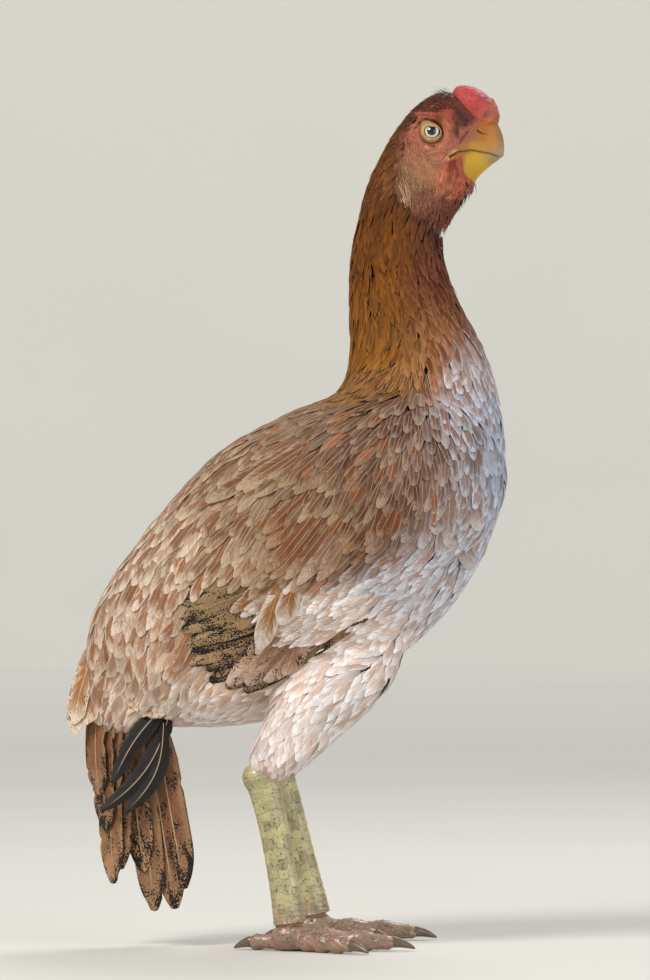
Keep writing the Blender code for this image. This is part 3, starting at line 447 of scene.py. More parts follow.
def loft(name: str, rings: Array, poles: Array) -> bpy.types.Object:
    """A closed body through rings of points, in the hen's own frame.

    Args:
        name: the object's name.
        rings: ring, point and coordinate; each ring goes once round.
        poles: the two end points.

    Returns:
        The object.
    """
    count, around = rings.shape[:2]
    grid = np.arange(count * around).reshape(count, around)
    after = np.roll(grid, -1, axis=1)
    first, last = count * around, count * around + 1
    start = np.stack((np.full(around, first), after[0], grid[0]), -1)
    end = np.stack((np.full(around, last), grid[-1], after[-1]), -1)
    points = np.concatenate((rings.reshape(-1, 3), poles))
    return face_outwards(make_object(name, points, [strips(grid), start, end], placed=False))


def bake_modifiers(obj: bpy.types.Object) -> bpy.types.Object:
    """Applies the object's modifiers to its mesh."""
    bpy.context.view_layer.update()
    made = bpy.data.meshes.new_from_object(obj.evaluated_get(bpy.context.evaluated_depsgraph_get()))
    obj.modifiers.clear()
    obj.data = made
    return obj


def combine(obj: bpy.types.Object, operation: str, others: Sequence[bpy.types.Object]) -> bpy.types.Object:
    """Applies one Boolean after another, and removes the other objects.

    Args:
        obj: the object that stays.
        operation: UNION, DIFFERENCE or INTERSECT.
        others: what is joined to it or taken from it.

    Returns:
        The object.
    """
    for other in others:
        modifier = obj.modifiers.new("join", "BOOLEAN")
        modifier.operation, modifier.solver, modifier.object = operation, "MANIFOLD", other
        bake_modifiers(obj)
        bpy.data.objects.remove(other)
    return obj


def remesh(obj: bpy.types.Object, size: float, smooth: int) -> bpy.types.Object:
    """Turns an object into one even closed surface.

    Args:
        obj: the object.
        size: length of a face's side in millimetres.
        smooth: how many times it is smoothed.

    Returns:
        The object.
    """
    modifier = obj.modifiers.new("even", "REMESH")
    modifier.mode, modifier.voxel_size = "VOXEL", size * MM
    if smooth:
        soft = obj.modifiers.new("soft", "SMOOTH")
        soft.factor, soft.iterations = 0.5, smooth
    return bake_modifiers(obj)


def settle(obj: bpy.types.Object) -> bpy.types.Object:
    """Moves a mesh from the hen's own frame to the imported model's."""
    return move_to(obj, to_world(vertices(obj.data) / MM))


def ball(
    name: str, centre: Array, size: Sequence[float], slope: float = 0.0, detail: int = 24
) -> bpy.types.Object:
    """An ellipsoid in the hen's own frame, its long axis rising by slope towards the bill."""
    mesh = bmesh.new()
    bmesh.ops.create_uvsphere(mesh, u_segments=detail, v_segments=detail * 2 // 3, radius=1.0)
    matrix = Matrix.Translation(Vector(centre) * MM) @ Matrix.Rotation(-slope, 4, "Y")
    matrix @= Matrix.Diagonal((*(s * MM for s in size), 1.0))
    bmesh.ops.transform(mesh, matrix=matrix, verts=mesh.verts[:])
    return adopt(name, mesh)


def slab(name: str, corners: Sequence[Pair], half: float = 60.0) -> bpy.types.Object:
    """A flat outline in the side view, as thick as the hen."""
    mesh = bmesh.new()
    face = mesh.faces.new([mesh.verts.new((x * MM, -half * MM, z * MM)) for x, z in corners])
    pushed = bmesh.ops.extrude_face_region(mesh, geom=[face])["geom"]
    moved = [g for g in pushed if isinstance(g, bmesh.types.BMVert)]
    bmesh.ops.translate(mesh, vec=(0, 2 * half * MM, 0), verts=moved)
    bmesh.ops.recalc_face_normals(mesh, faces=mesh.faces[:])
    return adopt(name, mesh)


class Node(Enum):
    """The shader nodes in use: type, settings, inputs in the order given and the output that is read."""

    ADD = ("Math", {"operation": "ADD"}, (0, 1), 0)
    SUBTRACT = ("Math", {"operation": "SUBTRACT"}, (0, 1), 0)
    MULTIPLY = ("Math", {"operation": "MULTIPLY"}, (0, 1), 0)
    POWER = ("Math", {"operation": "POWER"}, (0, 1), 0)
    MAXIMUM = ("Math", {"operation": "MAXIMUM"}, (0, 1), 0)
    ABSOLUTE = ("Math", {"operation": "ABSOLUTE"}, (0,), 0)
    RAMP = ("MapRange", {"interpolation_type": "SMOOTHSTEP"}, (0, 1, 2, 3, 4), 0)
    MIX = ("Mix", {"data_type": "RGBA"}, (0, 6, 7), 2)
    SHADE = ("Mix", {"data_type": "RGBA", "blend_type": "MULTIPLY"}, (0, 6, 7), 2)
    NOISE = ("TexNoise", {}, ("Vector", "Scale", "Detail"), 0)
    CELLS = ("TexVoronoi", {"feature": "F1"}, ("Vector", "Scale"), 0)
    FURROWS = ("TexVoronoi", {"feature": "DISTANCE_TO_EDGE"}, ("Vector", "Scale"), 0)
    BUMP = ("Bump", {}, ("Height", "Strength", "Distance"), 0)
    STRETCH = ("Mapping", {}, ("Vector", "Scale"), 0)
    JOIN = ("CombineXYZ", {}, (0, 1, 2), 0)
    SPLIT = ("SeparateXYZ", {}, (0,), 0)
    PLACE = ("TexCoord", {}, (), "Object")
    READ = ("Attribute", {}, (), "Color")


def feed(tree: bpy.types.NodeTree, node: bpy.types.Node, inputs: dict[Any, Any]) -> None:
    """Gives each of a node's inputs, by name or number, its value or the socket that feeds it."""
    for key, value in inputs.items():
        if isinstance(value, bpy.types.NodeSocket):
            tree.links.new(value, node.inputs[key])
        else:
            node.inputs[key].default_value = value


def add_node(tree: bpy.types.NodeTree, kind: Node, *inputs: Any, output: Any = None, **settings: Any) -> Any:
    """Adds a shader node.

    Args:
        tree: the material's nodes.
        kind: what the node does.
        *inputs: for each of its inputs in turn, a value or the socket that feeds it.
        output: the output that is read, where that isn't the kind's usual one.
        **settings: the node's own properties.

    Returns:
        The output's socket.
    """
    name, fixed, keys, usual = kind.value
    node = tree.nodes.new(f"ShaderNode{name}")
    for key, value in {**fixed, **settings}.items():
        setattr(node, key, value)
    feed(tree, node, dict(zip(keys, inputs)))
    return node.outputs[usual if output is None else output]


@dataclass(frozen=True)
class Finish:
    """A material on the principled shader."""

    name: str

    def make(self) -> bpy.types.Material:
        """Builds the material."""
        material = bpy.data.materials.new(self.name)
        material.use_nodes = True
        tree = material.node_tree
        feed(tree, tree.nodes["Principled BSDF"], self.inputs(partial(add_node, tree)))
        return material

    def inputs(self, add: Callable[..., Any]) -> dict[str, Any]:
        """The shader's inputs, as values or sockets of nodes made with add.

        Args:
            add: puts a node in and returns its output.

        Returns:
            Values and links by the names of the shader's sockets.
        """
        raise NotImplementedError


@dataclass(frozen=True)
class FeatherKeratin(Finish):
    """Feather vanes: barbs side by side along a pale shaft, each a streak of its own with a satin edge."""

    roughness: float = 0.58
    sheen: float = 0.03
    barb: float = 0.5  # distance of the streaks in mm: real barbs are finer, this is as coarse as shows
    lean: float = 42.0  # degrees between a barb and the shaft
    shaft: float = 0.2  # half the shaft's width in mm
    quill: float = 0.4  # how far the shaft stands out in colour
    contrast: float = 0.18
    softness: float = 0.85  # how gradually the centre turns into the rim
    mottle_from: float = 0.1  # where along the feather its black mottling starts
    specular: float = 0.22
    black: str = "#1B1512"
    pale_shaft: str = "#E6C79C"

    def inputs(self, add: Callable[..., Any]) -> dict[str, Any]:
        """The shader's inputs, with the colours read from the feathers' own attributes.

        Args:
            add: puts a node in and returns its output.

        Returns:
            Values and links by the names of the shader's sockets.
        """
        centre, rim = (add(Node.READ, attribute_name=key) for key in ("centre", "rim"))
        (u, v, seed), (across, along, _), (stipple, tick, border) = (
            add(Node.SPLIT, add(Node.READ, attribute_name=key, output="Vector")).node.outputs
            for key in ("vane", "mm", "marks")
        )
        out, aside = add(Node.ABSOLUTE, u), add(Node.ABSOLUTE, across)
        shifted = add(Node.MULTIPLY, seed, 37.0)
        lean = math.radians(self.lean)
        slope, run = math.cos(lean) / self.barb, math.sin(lean) / self.barb
        lane = add(Node.SUBTRACT, add(Node.MULTIPLY, aside, slope), add(Node.MULTIPLY, along, run))
        barbs = add(Node.NOISE, add(Node.JOIN, lane, shifted, add(Node.MULTIPLY, across, 0.14)), 1.0, 2.5)
        cloud = add(Node.NOISE, add(Node.JOIN, add(Node.MULTIPLY, lane, 0.3), across, shifted), 0.5, 2.0)
        # The pale rim runs along both edges and round the tip, uneven from barb to barb.
        edge = add(Node.MULTIPLY, add(Node.POWER, out, 1.7), 0.8)
        both = add(Node.MAXIMUM, edge, add(Node.RAMP, v, 0.5, 1.12))
        ragged = add(Node.MULTIPLY, add(Node.SUBTRACT, add(Node.ADD, barbs, cloud), 1.0), 0.75)
        uneven = add(Node.ADD, add(Node.ADD, both, ragged), add(Node.SUBTRACT, border, 0.5))
        share = add(Node.RAMP, uneven, 0.5 - self.softness / 2, 0.5 + self.softness / 2)
        streak = add(Node.RAMP, barbs, 0.25, 0.75, 1 - self.contrast, 1 + self.contrast * 0.6)
        tone = add(Node.RAMP, seed, 0.0, 1.0, 0.88, 1.08)
        # The hidden root is darker: partly the duller base that a real feather has, partly painted shade
        # where the feathers over it cover it.
        deep_shade = add(Node.RAMP, v, 0.0, 0.4, 0.62, 1.0)
        value = add(Node.MULTIPLY, add(Node.MULTIPLY, streak, tone), deep_shade)
        colour = add(Node.SHADE, 1.0, add(Node.MIX, share, centre, rim), value)
        # Black flecks, finer across than along, gather towards the tip where a feather is mottled.
        places = (
            add(Node.JOIN, add(Node.MULTIPLY, across, x), add(Node.MULTIPLY, along, y), shifted)
            for x, y in ((1.25, 0.8), (0.22, 0.07))
        )
        flecks, blots = (add(Node.NOISE, place, 1.0, 1.0) for place in places)
        reach = add(Node.MULTIPLY, stipple, add(Node.RAMP, v, self.mottle_from, 1.0, 0.2, 0.62))
        outer = add(Node.MULTIPLY, add(Node.POWER, out, 3.0), 0.12)
        spots = add(Node.ADD, flecks, add(Node.MULTIPLY, blots, 0.9))
        spots = add(Node.ADD, spots, add(Node.ADD, reach, outer))
        dots = add(Node.MULTIPLY, add(Node.RAMP, spots, 1.22, 1.30), add(Node.RAMP, stipple, 0.0, 0.1))
        colour = add(Node.MIX, dots, colour, linear(self.black))
        # A tick is a short dark V near the tip.
        bend = add(Node.SUBTRACT, 0.88, add(Node.MULTIPLY, out, 0.2))
        vee = add(Node.RAMP, add(Node.ABSOLUTE, add(Node.SUBTRACT, v, bend)), 0.085, 0.03)
        colour = add(Node.MIX, add(Node.MULTIPLY, vee, tick), colour, linear(self.black))
        if self.shaft:
            line = add(Node.RAMP, aside, self.shaft, self.shaft * 0.4)
            line = add(Node.MULTIPLY, line, add(Node.RAMP, v, 0.99, 0.7))
            colour = add(Node.MIX, add(Node.MULTIPLY, line, self.quill), colour, linear(self.pale_shaft))
        return {
            "Base Color": colour,
            "Normal": add(Node.BUMP, barbs, 0.4, 0.0003),
            "Roughness": add(Node.RAMP, barbs, 0.2, 0.8, self.roughness - 0.08, self.roughness + 0.1),
            "IOR": 1.54,
            "Specular IOR Level": self.specular,
            "Sheen Weight": self.sheen,
            "Sheen Roughness": 0.45,
        }


@dataclass(frozen=True)
class TintedSkin(Finish):
    """Living skin, coloured by place: pores, fine furrows with painted shade in them, and a faint oily gloss.
    """

    roughness: float = 0.5
    grain: float = 0.7  # pore spacing in mm
    furrow: float = 1.1  # spacing of the fine furrows in mm
    depth: float = 0.00025
    blood: float = 0.12
    mottle: float = 0.22
    flush: str = "#8E1F1A"

    def inputs(self, add: Callable[..., Any]) -> dict[str, Any]:
        """The shader's inputs, with the base tint read from the mesh.

        Args:
            add: puts a node in and returns its output.

        Returns:
            Values and links by the names of the shader's sockets.
        """
        where, tint = add(Node.PLACE), add(Node.READ, attribute_name="tint")
        big = add(Node.NOISE, where, 260.0, 4.0)
        pores = add(Node.CELLS, where, 1000 / self.grain)
        furrows = add(Node.FURROWS, where, 1000 / self.furrow)
        value = add(Node.RAMP, big, 0.3, 0.7, 1 - self.mottle, 1 + self.mottle)
        # The fine furrows are painted darker as well as sunk by the bump: painted shade in them.
        value = add(Node.MULTIPLY, value, add(Node.RAMP, furrows, 0.0, 0.16, 0.62, 1.0))
        share = add(Node.RAMP, add(Node.NOISE, where, 110.0, 3.0), 0.45, 0.75, 0.0, 0.22)
        red = add(Node.MIX, 0.5, tint, linear(self.flush))
        height = add(Node.ADD, add(Node.RAMP, furrows, 0.0, 0.2), pores)
        return {
            "Base Color": add(Node.MIX, share, add(Node.SHADE, 1.0, tint, value), red),
            "Normal": add(Node.BUMP, height, 0.6, self.depth),
            "Roughness": add(Node.RAMP, big, 0.3, 0.7, self.roughness - 0.08, self.roughness + 0.1),
            "IOR": 1.40,
            "Subsurface Weight": self.blood,
            "Subsurface Radius": (0.0030, 0.0012, 0.0007),
            "Subsurface Scale": 1.0,
        }


@dataclass(frozen=True)
class Horn(Finish):
    """Keratin horn of bill, claws and leg plates: translucent looking, grown in fine lines, worn shiny."""

    base: str
    dark: str
    pale: str
    grain: float  # spacing of the growth lines in mm
    stretch: Triple = (0.25, 1.0, 1.0)
    roughness: float = 0.34
    coat: float = 0.25
    tinted: bool = False  # whether the mesh's own tint takes the base colour's place
    specks: float = 0.0
    specular: float = 0.5
    stain: float = 0.6  # how far the dark patches show
    veins: float = 0.5  # how far the pale lines show
    dirt: str = "#3B3632"

    def inputs(self, add: Callable[..., Any]) -> dict[str, Any]:
        """The shader's inputs.

        Args:
            add: puts a node in and returns its output.

        Returns:
            Values and links by the names of the shader's sockets.
        """
        where = add(Node.PLACE)
        lines = add(Node.NOISE, add(Node.STRETCH, where, self.stretch), 1000 / self.grain, 4.0)
        patches = add(Node.NOISE, where, 140.0, 4.0)
        colour = add(Node.READ, attribute_name="tint") if self.tinted else linear(self.base)
        share = add(Node.RAMP, patches, 0.48, 0.75, 0.0, self.stain)
        colour = add(Node.MIX, share, colour, linear(self.dark))
        colour = add(Node.MIX, add(Node.RAMP, lines, 0.5, 0.8, 0.0, self.veins), colour, linear(self.pale))
        if self.specks:
            share = add(Node.RAMP, add(Node.NOISE, where, 620.0, 3.0), 0.58, 0.66, 0.0, self.specks)
            colour = add(Node.MIX, share, colour, linear(self.dirt))
        return {
            "Base Color": colour,
            "Normal": add(Node.BUMP, lines, 0.3, 0.0002),
            "Roughness": add(Node.RAMP, patches, 0.3, 0.7, self.roughness - 0.08, self.roughness + 0.14),
            "IOR": 1.55,
            "Specular IOR Level": self.specular,
            "Coat Weight": self.coat,
            "Coat Roughness": 0.2,
        }


@dataclass(frozen=True)
class WetEye(Finish):
    """The eyeball: a pearl iris with fine spokes, a black pupil and a wet clear front."""

    name: str = "wet_pearl_eye"
    pearl: str = "#D2D4C4"
    shade: str = "#A8AA92"
    inner: str = "#6E6A50"
    ring: str = "#262014"
    black: str = "#050404"
    pupil: float = 0.42  # radius over the eyeball's radius
    iris: float = 0.64

    def inputs(self, add: Callable[..., Any]) -> dict[str, Any]:
        """The shader's inputs; the mesh says how far a point is off the eye's axis, and on which side.

        Args:
            add: puts a node in and returns its output.

        Returns:
            Values and links by the names of the shader's sockets.
        """
        away, turn, _ = add(Node.SPLIT, add(Node.READ, attribute_name="gaze", output="Vector")).node.outputs
        spokes = add(Node.JOIN, add(Node.MULTIPLY, turn, 9.0), add(Node.MULTIPLY, away, 5.0))
        spokes = add(Node.NOISE, spokes, 2.4, 4.0)
        colour = add(Node.MIX, add(Node.RAMP, spokes, 0.35, 0.7), linear(self.pearl), linear(self.shade))
        for low, high, most, code in (
            (self.iris - 0.06, self.iris + 0.03, 1.0, self.ring),
            (self.pupil + 0.05, self.pupil, 0.5, self.inner),
            (self.pupil + 0.012, self.pupil - 0.012, 1.0, self.black),
        ):
            colour = add(Node.MIX, add(Node.RAMP, away, low, high, 0.0, most), colour, linear(code))
        return {
            "Base Color": colour,
            "Normal": add(Node.BUMP, spokes, 0.1, 0.0001),
            "Roughness": 0.16,
            "IOR": 1.376,
            "Coat Weight": 1.0,
            "Coat Roughness": 0.02,
        }


@dataclass(frozen=True)
class StudioGround(Finish):
    """Matt seamless studio paper, with a faint fibre in it and a painted glow."""

    tone: str
    other: str
    light: str = "#DAD8D0"

    def inputs(self, add: Callable[..., Any]) -> dict[str, Any]:
        """The shader's inputs; the mesh says how strongly each place glows, a painted light that stands in
        for lamplight on the far floor and wall.

        Args:
            add: puts a node in and returns its output.

        Returns:
            Values and links by the names of the shader's sockets.
        """
        where = add(Node.PLACE)
        fibre, cloud = add(Node.NOISE, where, 900.0, 3.0), add(Node.NOISE, where, 2.2, 2.0)
        share = add(Node.ADD, add(Node.MULTIPLY, fibre, 0.3), add(Node.MULTIPLY, cloud, 0.7))
        glow = add(Node.READ, attribute_name="glow", output="Fac")
        return {
            "Base Color": add(Node.MIX, share, linear(self.tone), linear(self.other)),
            "Normal": add(Node.BUMP, fibre, 0.15, 0.0002),
            "Emission Color": add(Node.SHADE, 1.0, linear(self.light), glow),
            "Emission Strength": 1.0,
            "Roughness": 0.92,
        }


@dataclass(frozen=True)
class Patch:
    """One region of her coat: where it is centred in the side view, how far it reaches, and its feathers."""

    at: Pair
    reach: Pair
    centre: str
    rim: str
    spacing: float
    length: float
    half: float
    fluff: float = 0.0
    tick: float = 0.0
    border: float = 0.5
    rise: float = 2.3  # how far the tip stands over the root
    stipple: float = 0.0


# Her markings and feather sizes, from the nape down and back. Reach and sizes are in millimetres.
COAT = (
    Patch((52, 446), (16, 18), "#4C270C", "#6C3C12", 2.7, 12, 1.4, rise=1.1),
    Patch((46, 408), (20, 22), "#5C300A", "#7E4A12", 2.9, 18, 1.7, tick=0.14, rise=1.2),
    Patch((44, 374), (22, 20), "#66390A", "#8E5814", 3.1, 22, 1.9, tick=0.28, rise=1.4),
    Patch((38, 344), (24, 16), "#6E400C", "#98641A", 3.4, 23, 2.3, tick=0.5, rise=1.6),
    Patch((97, 416), (11, 12), "#42201A", "#6A3C2C", 2.6, 8, 1.4, rise=0.8),
    Patch((86, 393), (16, 15), "#4E2614", "#784630", 2.9, 13, 1.8, rise=1.0),
    Patch((90, 368), (15, 15), "#653416", "#9A6C4A", 3.3, 17, 2.2, rise=1.3),
    Patch((78, 350), (11, 12), "#6A3A16", "#A07044", 3.5, 20, 2.4, rise=1.5),
    Patch((106, 345), (13, 17), "#8A6A5C", "#C7C0C6", 3.9, 19, 2.9, border=0.58, rise=1.6),
    Patch((117, 305), (14, 24), "#80797F", "#B4C1DA", 4.7, 20, 3.6, border=0.60, rise=1.8),
    Patch((118, 265), (14, 30), "#837B80", "#B9C4DA", 4.7, 22, 3.7, border=0.60, rise=1.8),
    Patch((106, 232), (20, 24), "#9A8886", "#D3D5E0", 4.0, 24, 3.0, fluff=0.5, border=0.60, rise=1.8),
    Patch((99, 300), (12, 15), "#6E4B3D", "#B8B6BC", 4.5, 16, 3.4, border=0.54),
    Patch((102, 270), (12, 20), "#6A4430", "#B0ABAD", 4.7, 18, 3.6, border=0.52),
    Patch((78, 294), (15, 17), "#562E19", "#968072", 4.3, 18, 3.2, border=0.44),
    Patch((72, 268), (20, 17), "#512B16", "#856A59", 4.6, 20, 3.5, border=0.40),
    Patch((46, 282), (18, 18), "#512C18", "#816551", 4.5, 22, 3.2, border=0.38),
    Patch((16, 268), (20, 20), "#5C341C", "#8C7055", 4.8, 25, 3.4, border=0.38),
    Patch((18, 309), (22, 12), "#654125", "#9B826B", 4.5, 23, 3.2, border=0.42),
    Patch((-18, 284), (26, 16), "#72492B", "#B39C83", 4.7, 25, 3.5, border=0.46),
    Patch((-18, 250), (22, 18), "#714627", "#AF987E", 4.7, 25, 3.5, border=0.47),
    Patch((-55, 240), (24, 22), "#845636", "#D8C4AE", 5.1, 26, 4.0, border=0.50),
    Patch((-84, 205), (22, 24), "#885A3C", "#DAC6B4", 5.3, 27, 4.3, border=0.50),
    Patch((-106, 175), (16, 22), "#7E5032", "#CEB8A2", 5.2, 26, 4.3, border=0.46),
    Patch((-60, 188), (22, 18), "#966A49", "#D3BCA7", 4.6, 26, 3.5, fluff=0.35, border=0.50),
    Patch((-20, 160), (26, 13), "#B48C70", "#EEE0D6", 4.2, 24, 3.8, fluff=0.75, border=0.54, rise=1.3),
    Patch((32, 182), (26, 15), "#BA9884", "#EEE6E4", 4.2, 24, 3.9, fluff=0.8, border=0.54, rise=1.3),
    Patch((62, 165), (30, 20), "#C0A698", "#EAE4E4", 4.3, 23, 4.2, fluff=0.85, border=0.62, rise=1.3),
    Patch((14, 140), (24, 18), "#C2A89A", "#ECE4E2", 4.2, 22, 4.1, fluff=0.9, border=0.62, rise=1.3),
    Patch((-30, 140), (20, 12), "#C4AA9C", "#F2EAE8", 4.2, 23, 3.9, fluff=0.9, border=0.62, rise=1.3),
    Patch((-8, 110), (14, 10), "#B49684", "#E2D2CC", 3.2, 12, 3.0, fluff=0.6, border=0.58, rise=1.1),
    Patch((-76, 146), (22, 16), "#B08E74", "#E4D6C8", 4.2, 26, 3.5, fluff=0.6, border=0.56),
)


def weigh(points: Array, regions: Sequence[tuple[Pair, Pair]]) -> Array:
    """How much each region, centred in the side view and reaching so far, counts at each point."""
    rows = []
    for (x, z), (rx, rz) in regions:
        a, b = (points[:, 0] - x) / rx, (points[:, 2] - z) / rz
        rows.append(np.exp(-(a * a) - b * b) + 1e-9 / (1e-3 + a * a + b * b))
    found = np.stack(rows, -1)
    return found / found.sum(-1, keepdims=True)


def blended(points: Array, tones: Sequence[tuple[Pair, Pair, str]]) -> Array:
    """A colour at each point, from tones with their places and reaches."""
    return weigh(points, [tone[:2] for tone in tones]) @ np.array([linear(code) for *_, code in tones])


@dataclass(frozen=True)
class Blend:
    """The coat's colours and sizes at any place of the side view, blended from the patches."""

    patches: tuple[Patch, ...] = COAT

    def weights(self, points: Array) -> Array:
        """How much each patch counts at each place."""
        return weigh(points, [(patch.at, patch.reach) for patch in self.patches])

    def values(self, points: Array, key: str) -> Array:
        """A number of the patches at each place, such as their spacing."""
        return self.weights(points) @ np.array([getattr(p, key) for p in self.patches], float)

    def colours(self, points: Array, key: str) -> Array:
        """A colour of the patches at each place."""
        return self.weights(points) @ np.array([linear(getattr(p, key)) for p in self.patches])


COAT_MAP = Blend()


@dataclass
class Sheets:
    """Thin closed bodies, such as feathers and scutes, gathered until their mesh is made.

    Every array has one row a sheet. `top` and `under` hold sheet, row, column and coordinate.
    """

    name: str
    tops: list[Array] = field(default_factory=list)
    unders: list[Array] = field(default_factory=list)
    facts: list[dict[str, Array]] = field(default_factory=list)

    def lay(
        self,
        spine: Array,
        normal: Array,
        half: Array,
        columns: Array,
        thick: Array,
        cup: float = 0.1,
        shaft: float = 0.12,
        fray: Array | None = None,
        **facts: Array,
    ) -> None:
        """Adds sheets along their spines.

        Args:
            spine: sheet, row and coordinate, from root to tip.
            normal: the outward way at each of those places.
            half: half the width there.
            columns: places across, from -1 to 1.
            thick: thickness of each row.
            cup: how far an edge drops, as a share of the half width.
            shaft: height of the ridge over the middle.
            fray: how far each row's edge is drawn in, as a share.
            **facts: colours and marks of each sheet.
        """
        ahead = unit(np.gradient(spine, axis=1))
        normal = unit(normal - ahead * (normal * ahead).sum(-1, keepdims=True))
        across = np.cross(ahead, normal)
        width = half[..., None] * columns
        if fray is not None:
            width = width * (1 - fray[..., None] * np.abs(columns) ** 1.5)
        drop = -cup * np.abs(columns) ** 2 * half[..., None] + shaft * np.exp(-((columns / 0.12) ** 2))
        # Barbs sweep towards the tip, so a row's edge lies a little ahead of its middle.
        sweep = 0.30 * np.abs(width) * np.linspace(0.4, 1.0, spine.shape[1])[None, :, None]
        sweep[:, -1] *= -0.6
        top = spine[:, :, None] + across[:, :, None] * width[..., None] + normal[:, :, None] * drop[..., None]
        top = top + ahead[:, :, None] * sweep[..., None]
        low = top[:, :, [len(columns) // 2]] - normal[:, :, None] * thick[None, :, None, None]
        self.tops.append(top)
        self.unders.append(low)
        self.note(top, columns, width, **facts)

    def note(self, top: Array, columns: Array, width: Array, **facts: Array) -> None:
        """Keeps the facts of the last sheets that the materials and the unwrap need."""
        middle = top[:, :, top.shape[2] // 2]
        paces = np.linalg.norm(np.diff(middle, axis=1), axis=-1)
        along = np.concatenate((np.zeros((len(top), 1)), np.cumsum(paces, axis=1)), axis=1)
        own = {"columns": columns, "width": width, "along": along, "root": middle[:, 0]}
        self.facts.append({**own, **facts})

    def build(self, side: int = 1, bake: "Unwrap | None" = None) -> bpy.types.Object:
        """Makes one mesh of all the sheets.

        Args:
            side: -1 mirrors sheets that were laid on her left.
            bake: where the roots lie on the skin's unwrap.

        Returns:
            The object.
        """
        points, faces, data, maps = [], {}, [], []
        start = 0
        mirror = np.array((1.0, side, 1.0))
        for top, under, facts in zip(self.tops, self.unders, self.facts):
            columns = facts["columns"]
            if side < 0:
                top, under, columns = top[:, :, ::-1] * mirror, under[:, :, ::-1] * mirror, columns[::-1]
            ring = np.concatenate((top, under[:, :, ::-1]), axis=2)
            sheets, rows, around = ring.shape[:3]
            grid = start + np.arange(sheets * rows * around).reshape(sheets, rows, around)
            faces.setdefault(4, []).append(strips(grid))
            faces.setdefault(around, []).append(grid[:, 0, ::-1])
            faces.setdefault(around, []).append(grid[:, -1])
            start += grid.size
            points.append(ring.reshape(-1, 3))
            low = under.shape[2]
            wide = np.concatenate((columns, np.linspace(columns[-1], columns[0], low + 2)[1:-1]))
            spread = np.broadcast_to(wide, (sheets, rows, around))
            reach = facts["width"] if side > 0 else facts["width"][:, :, ::-1]
            inner = np.repeat(reach[:, :, [reach.shape[2] // 2]], low, axis=2)
            across = np.concatenate((reach, inner), axis=2)
            along = np.broadcast_to(facts["along"][:, :, None], (sheets, rows, around))
            share = np.broadcast_to(np.linspace(0, 1, rows)[None, :, None], (sheets, rows, around))
            seed = np.broadcast_to(facts["seed"][:, None, None], (sheets, rows, around))
            vane = np.stack((spread, share, seed), -1).reshape(-1, 3)
            size = np.stack((across, along, seed), -1).reshape(-1, 3)
            repeat = rows * around
            own = {key: np.repeat(facts[key], repeat, axis=0) for key in ("centre", "rim", "marks")}
            data.append({"vane": vane, "mm": size, **own})
            if bake is not None:
                place = np.repeat(bake.at(facts["root"] * mirror), repeat, axis=0)
                maps.append(place + np.stack((spread, share * 2 - 1), -1).reshape(-1, 2) * PATCH / 2)
        stacked = [np.concatenate(part) for part in faces.values()]
        obj = make_object(self.name, np.concatenate(points), stacked)
        mesh = obj.data
        for key in ("vane", "mm", "marks", "centre", "rim"):
            kind = "FLOAT_COLOR" if key in ("centre", "rim") else "FLOAT_VECTOR"
            put(mesh, key, kind, np.concatenate([d[key] for d in data]))
        if maps:
            put_map(mesh, np.concatenate(maps))
        mesh.set_sharp_from_angle(angle=math.radians(55))
        return obj


def grow_tree(points: Array) -> KDTree:
    """A search tree of the points."""
    tree = KDTree(len(points))
    for i, point in enumerate(points):
        tree.insert(point, i)
    tree.balance()
    return tree


@dataclass
class Unwrap:
    """Finds the place on the skin's own unwrap under any point of the coat."""

    skin: bpy.types.Object

    def __post_init__(self) -> None:
        """Reads the skin's vertices and one place of the map for each."""
        mesh = self.skin.data
        self.places = np.zeros((len(mesh.vertices), 2))
        self.places[corners_of(mesh)] = pull(mesh.uv_layers[BAKE_MAP].data, "uv", 2)
        self.tree = grow_tree(vertices(mesh))

    def at(self, points: Array) -> Array:
        """The map's place under each point given in the hen's own millimetres."""
        found = [self.tree.find(p)[1] for p in to_world(points)]
        return np.clip(self.places[found], PATCH, 1 - PATCH)


TRUNK_LIFT = ((0.0, -5.0), (8.0, -4.6), (10.0, -3.4), (12.5, -1.4), (14.0, 0.0), (20.0, 0.0))
TAIL_CORE = ((-94, 0, 148), (20, 16, 25))
# The folded wing under its feathers, as low domes on the flank: middle, half lengths, slope, height.
ARMS = (((66, 268), (60, 50), math.radians(10), 11.0), ((6, 224), (78, 46), math.radians(26), 7.0))
FLOW_REACH = 20.0
# Which way the feathers lie in the side view, in degrees: 180 is straight back and 270 straight down.
FLOW_MARKS = (
    ((46, 340), 250), ((20, 318), 205), ((-10, 295), 210), ((-40, 270), 222), ((-65, 235), 232),
    ((-90, 205), 242), ((-108, 180), 255), ((105, 300), 272), ((90, 290), 268), ((70, 300), 260),
    ((50, 300), 236), ((35, 290), 226), ((100, 260), 272), ((70, 260), 262), ((40, 262), 243),
    ((15, 250), 236), ((-10, 235), 238), ((-60, 190), 240), ((-85, 170), 255), ((-40, 165), 222),
    ((60, 190), 205), ((30, 175), 203), ((0, 160), 208), ((-20, 145), 228), ((-60, 140), 240),
    ((80, 205), 220), ((100, 222), 245), ((118, 300), 268), ((122, 270), 264), ((112, 235), 245),
    ((30, 150), 226), ((10, 130), 235), ((-8, 108), 262),
)
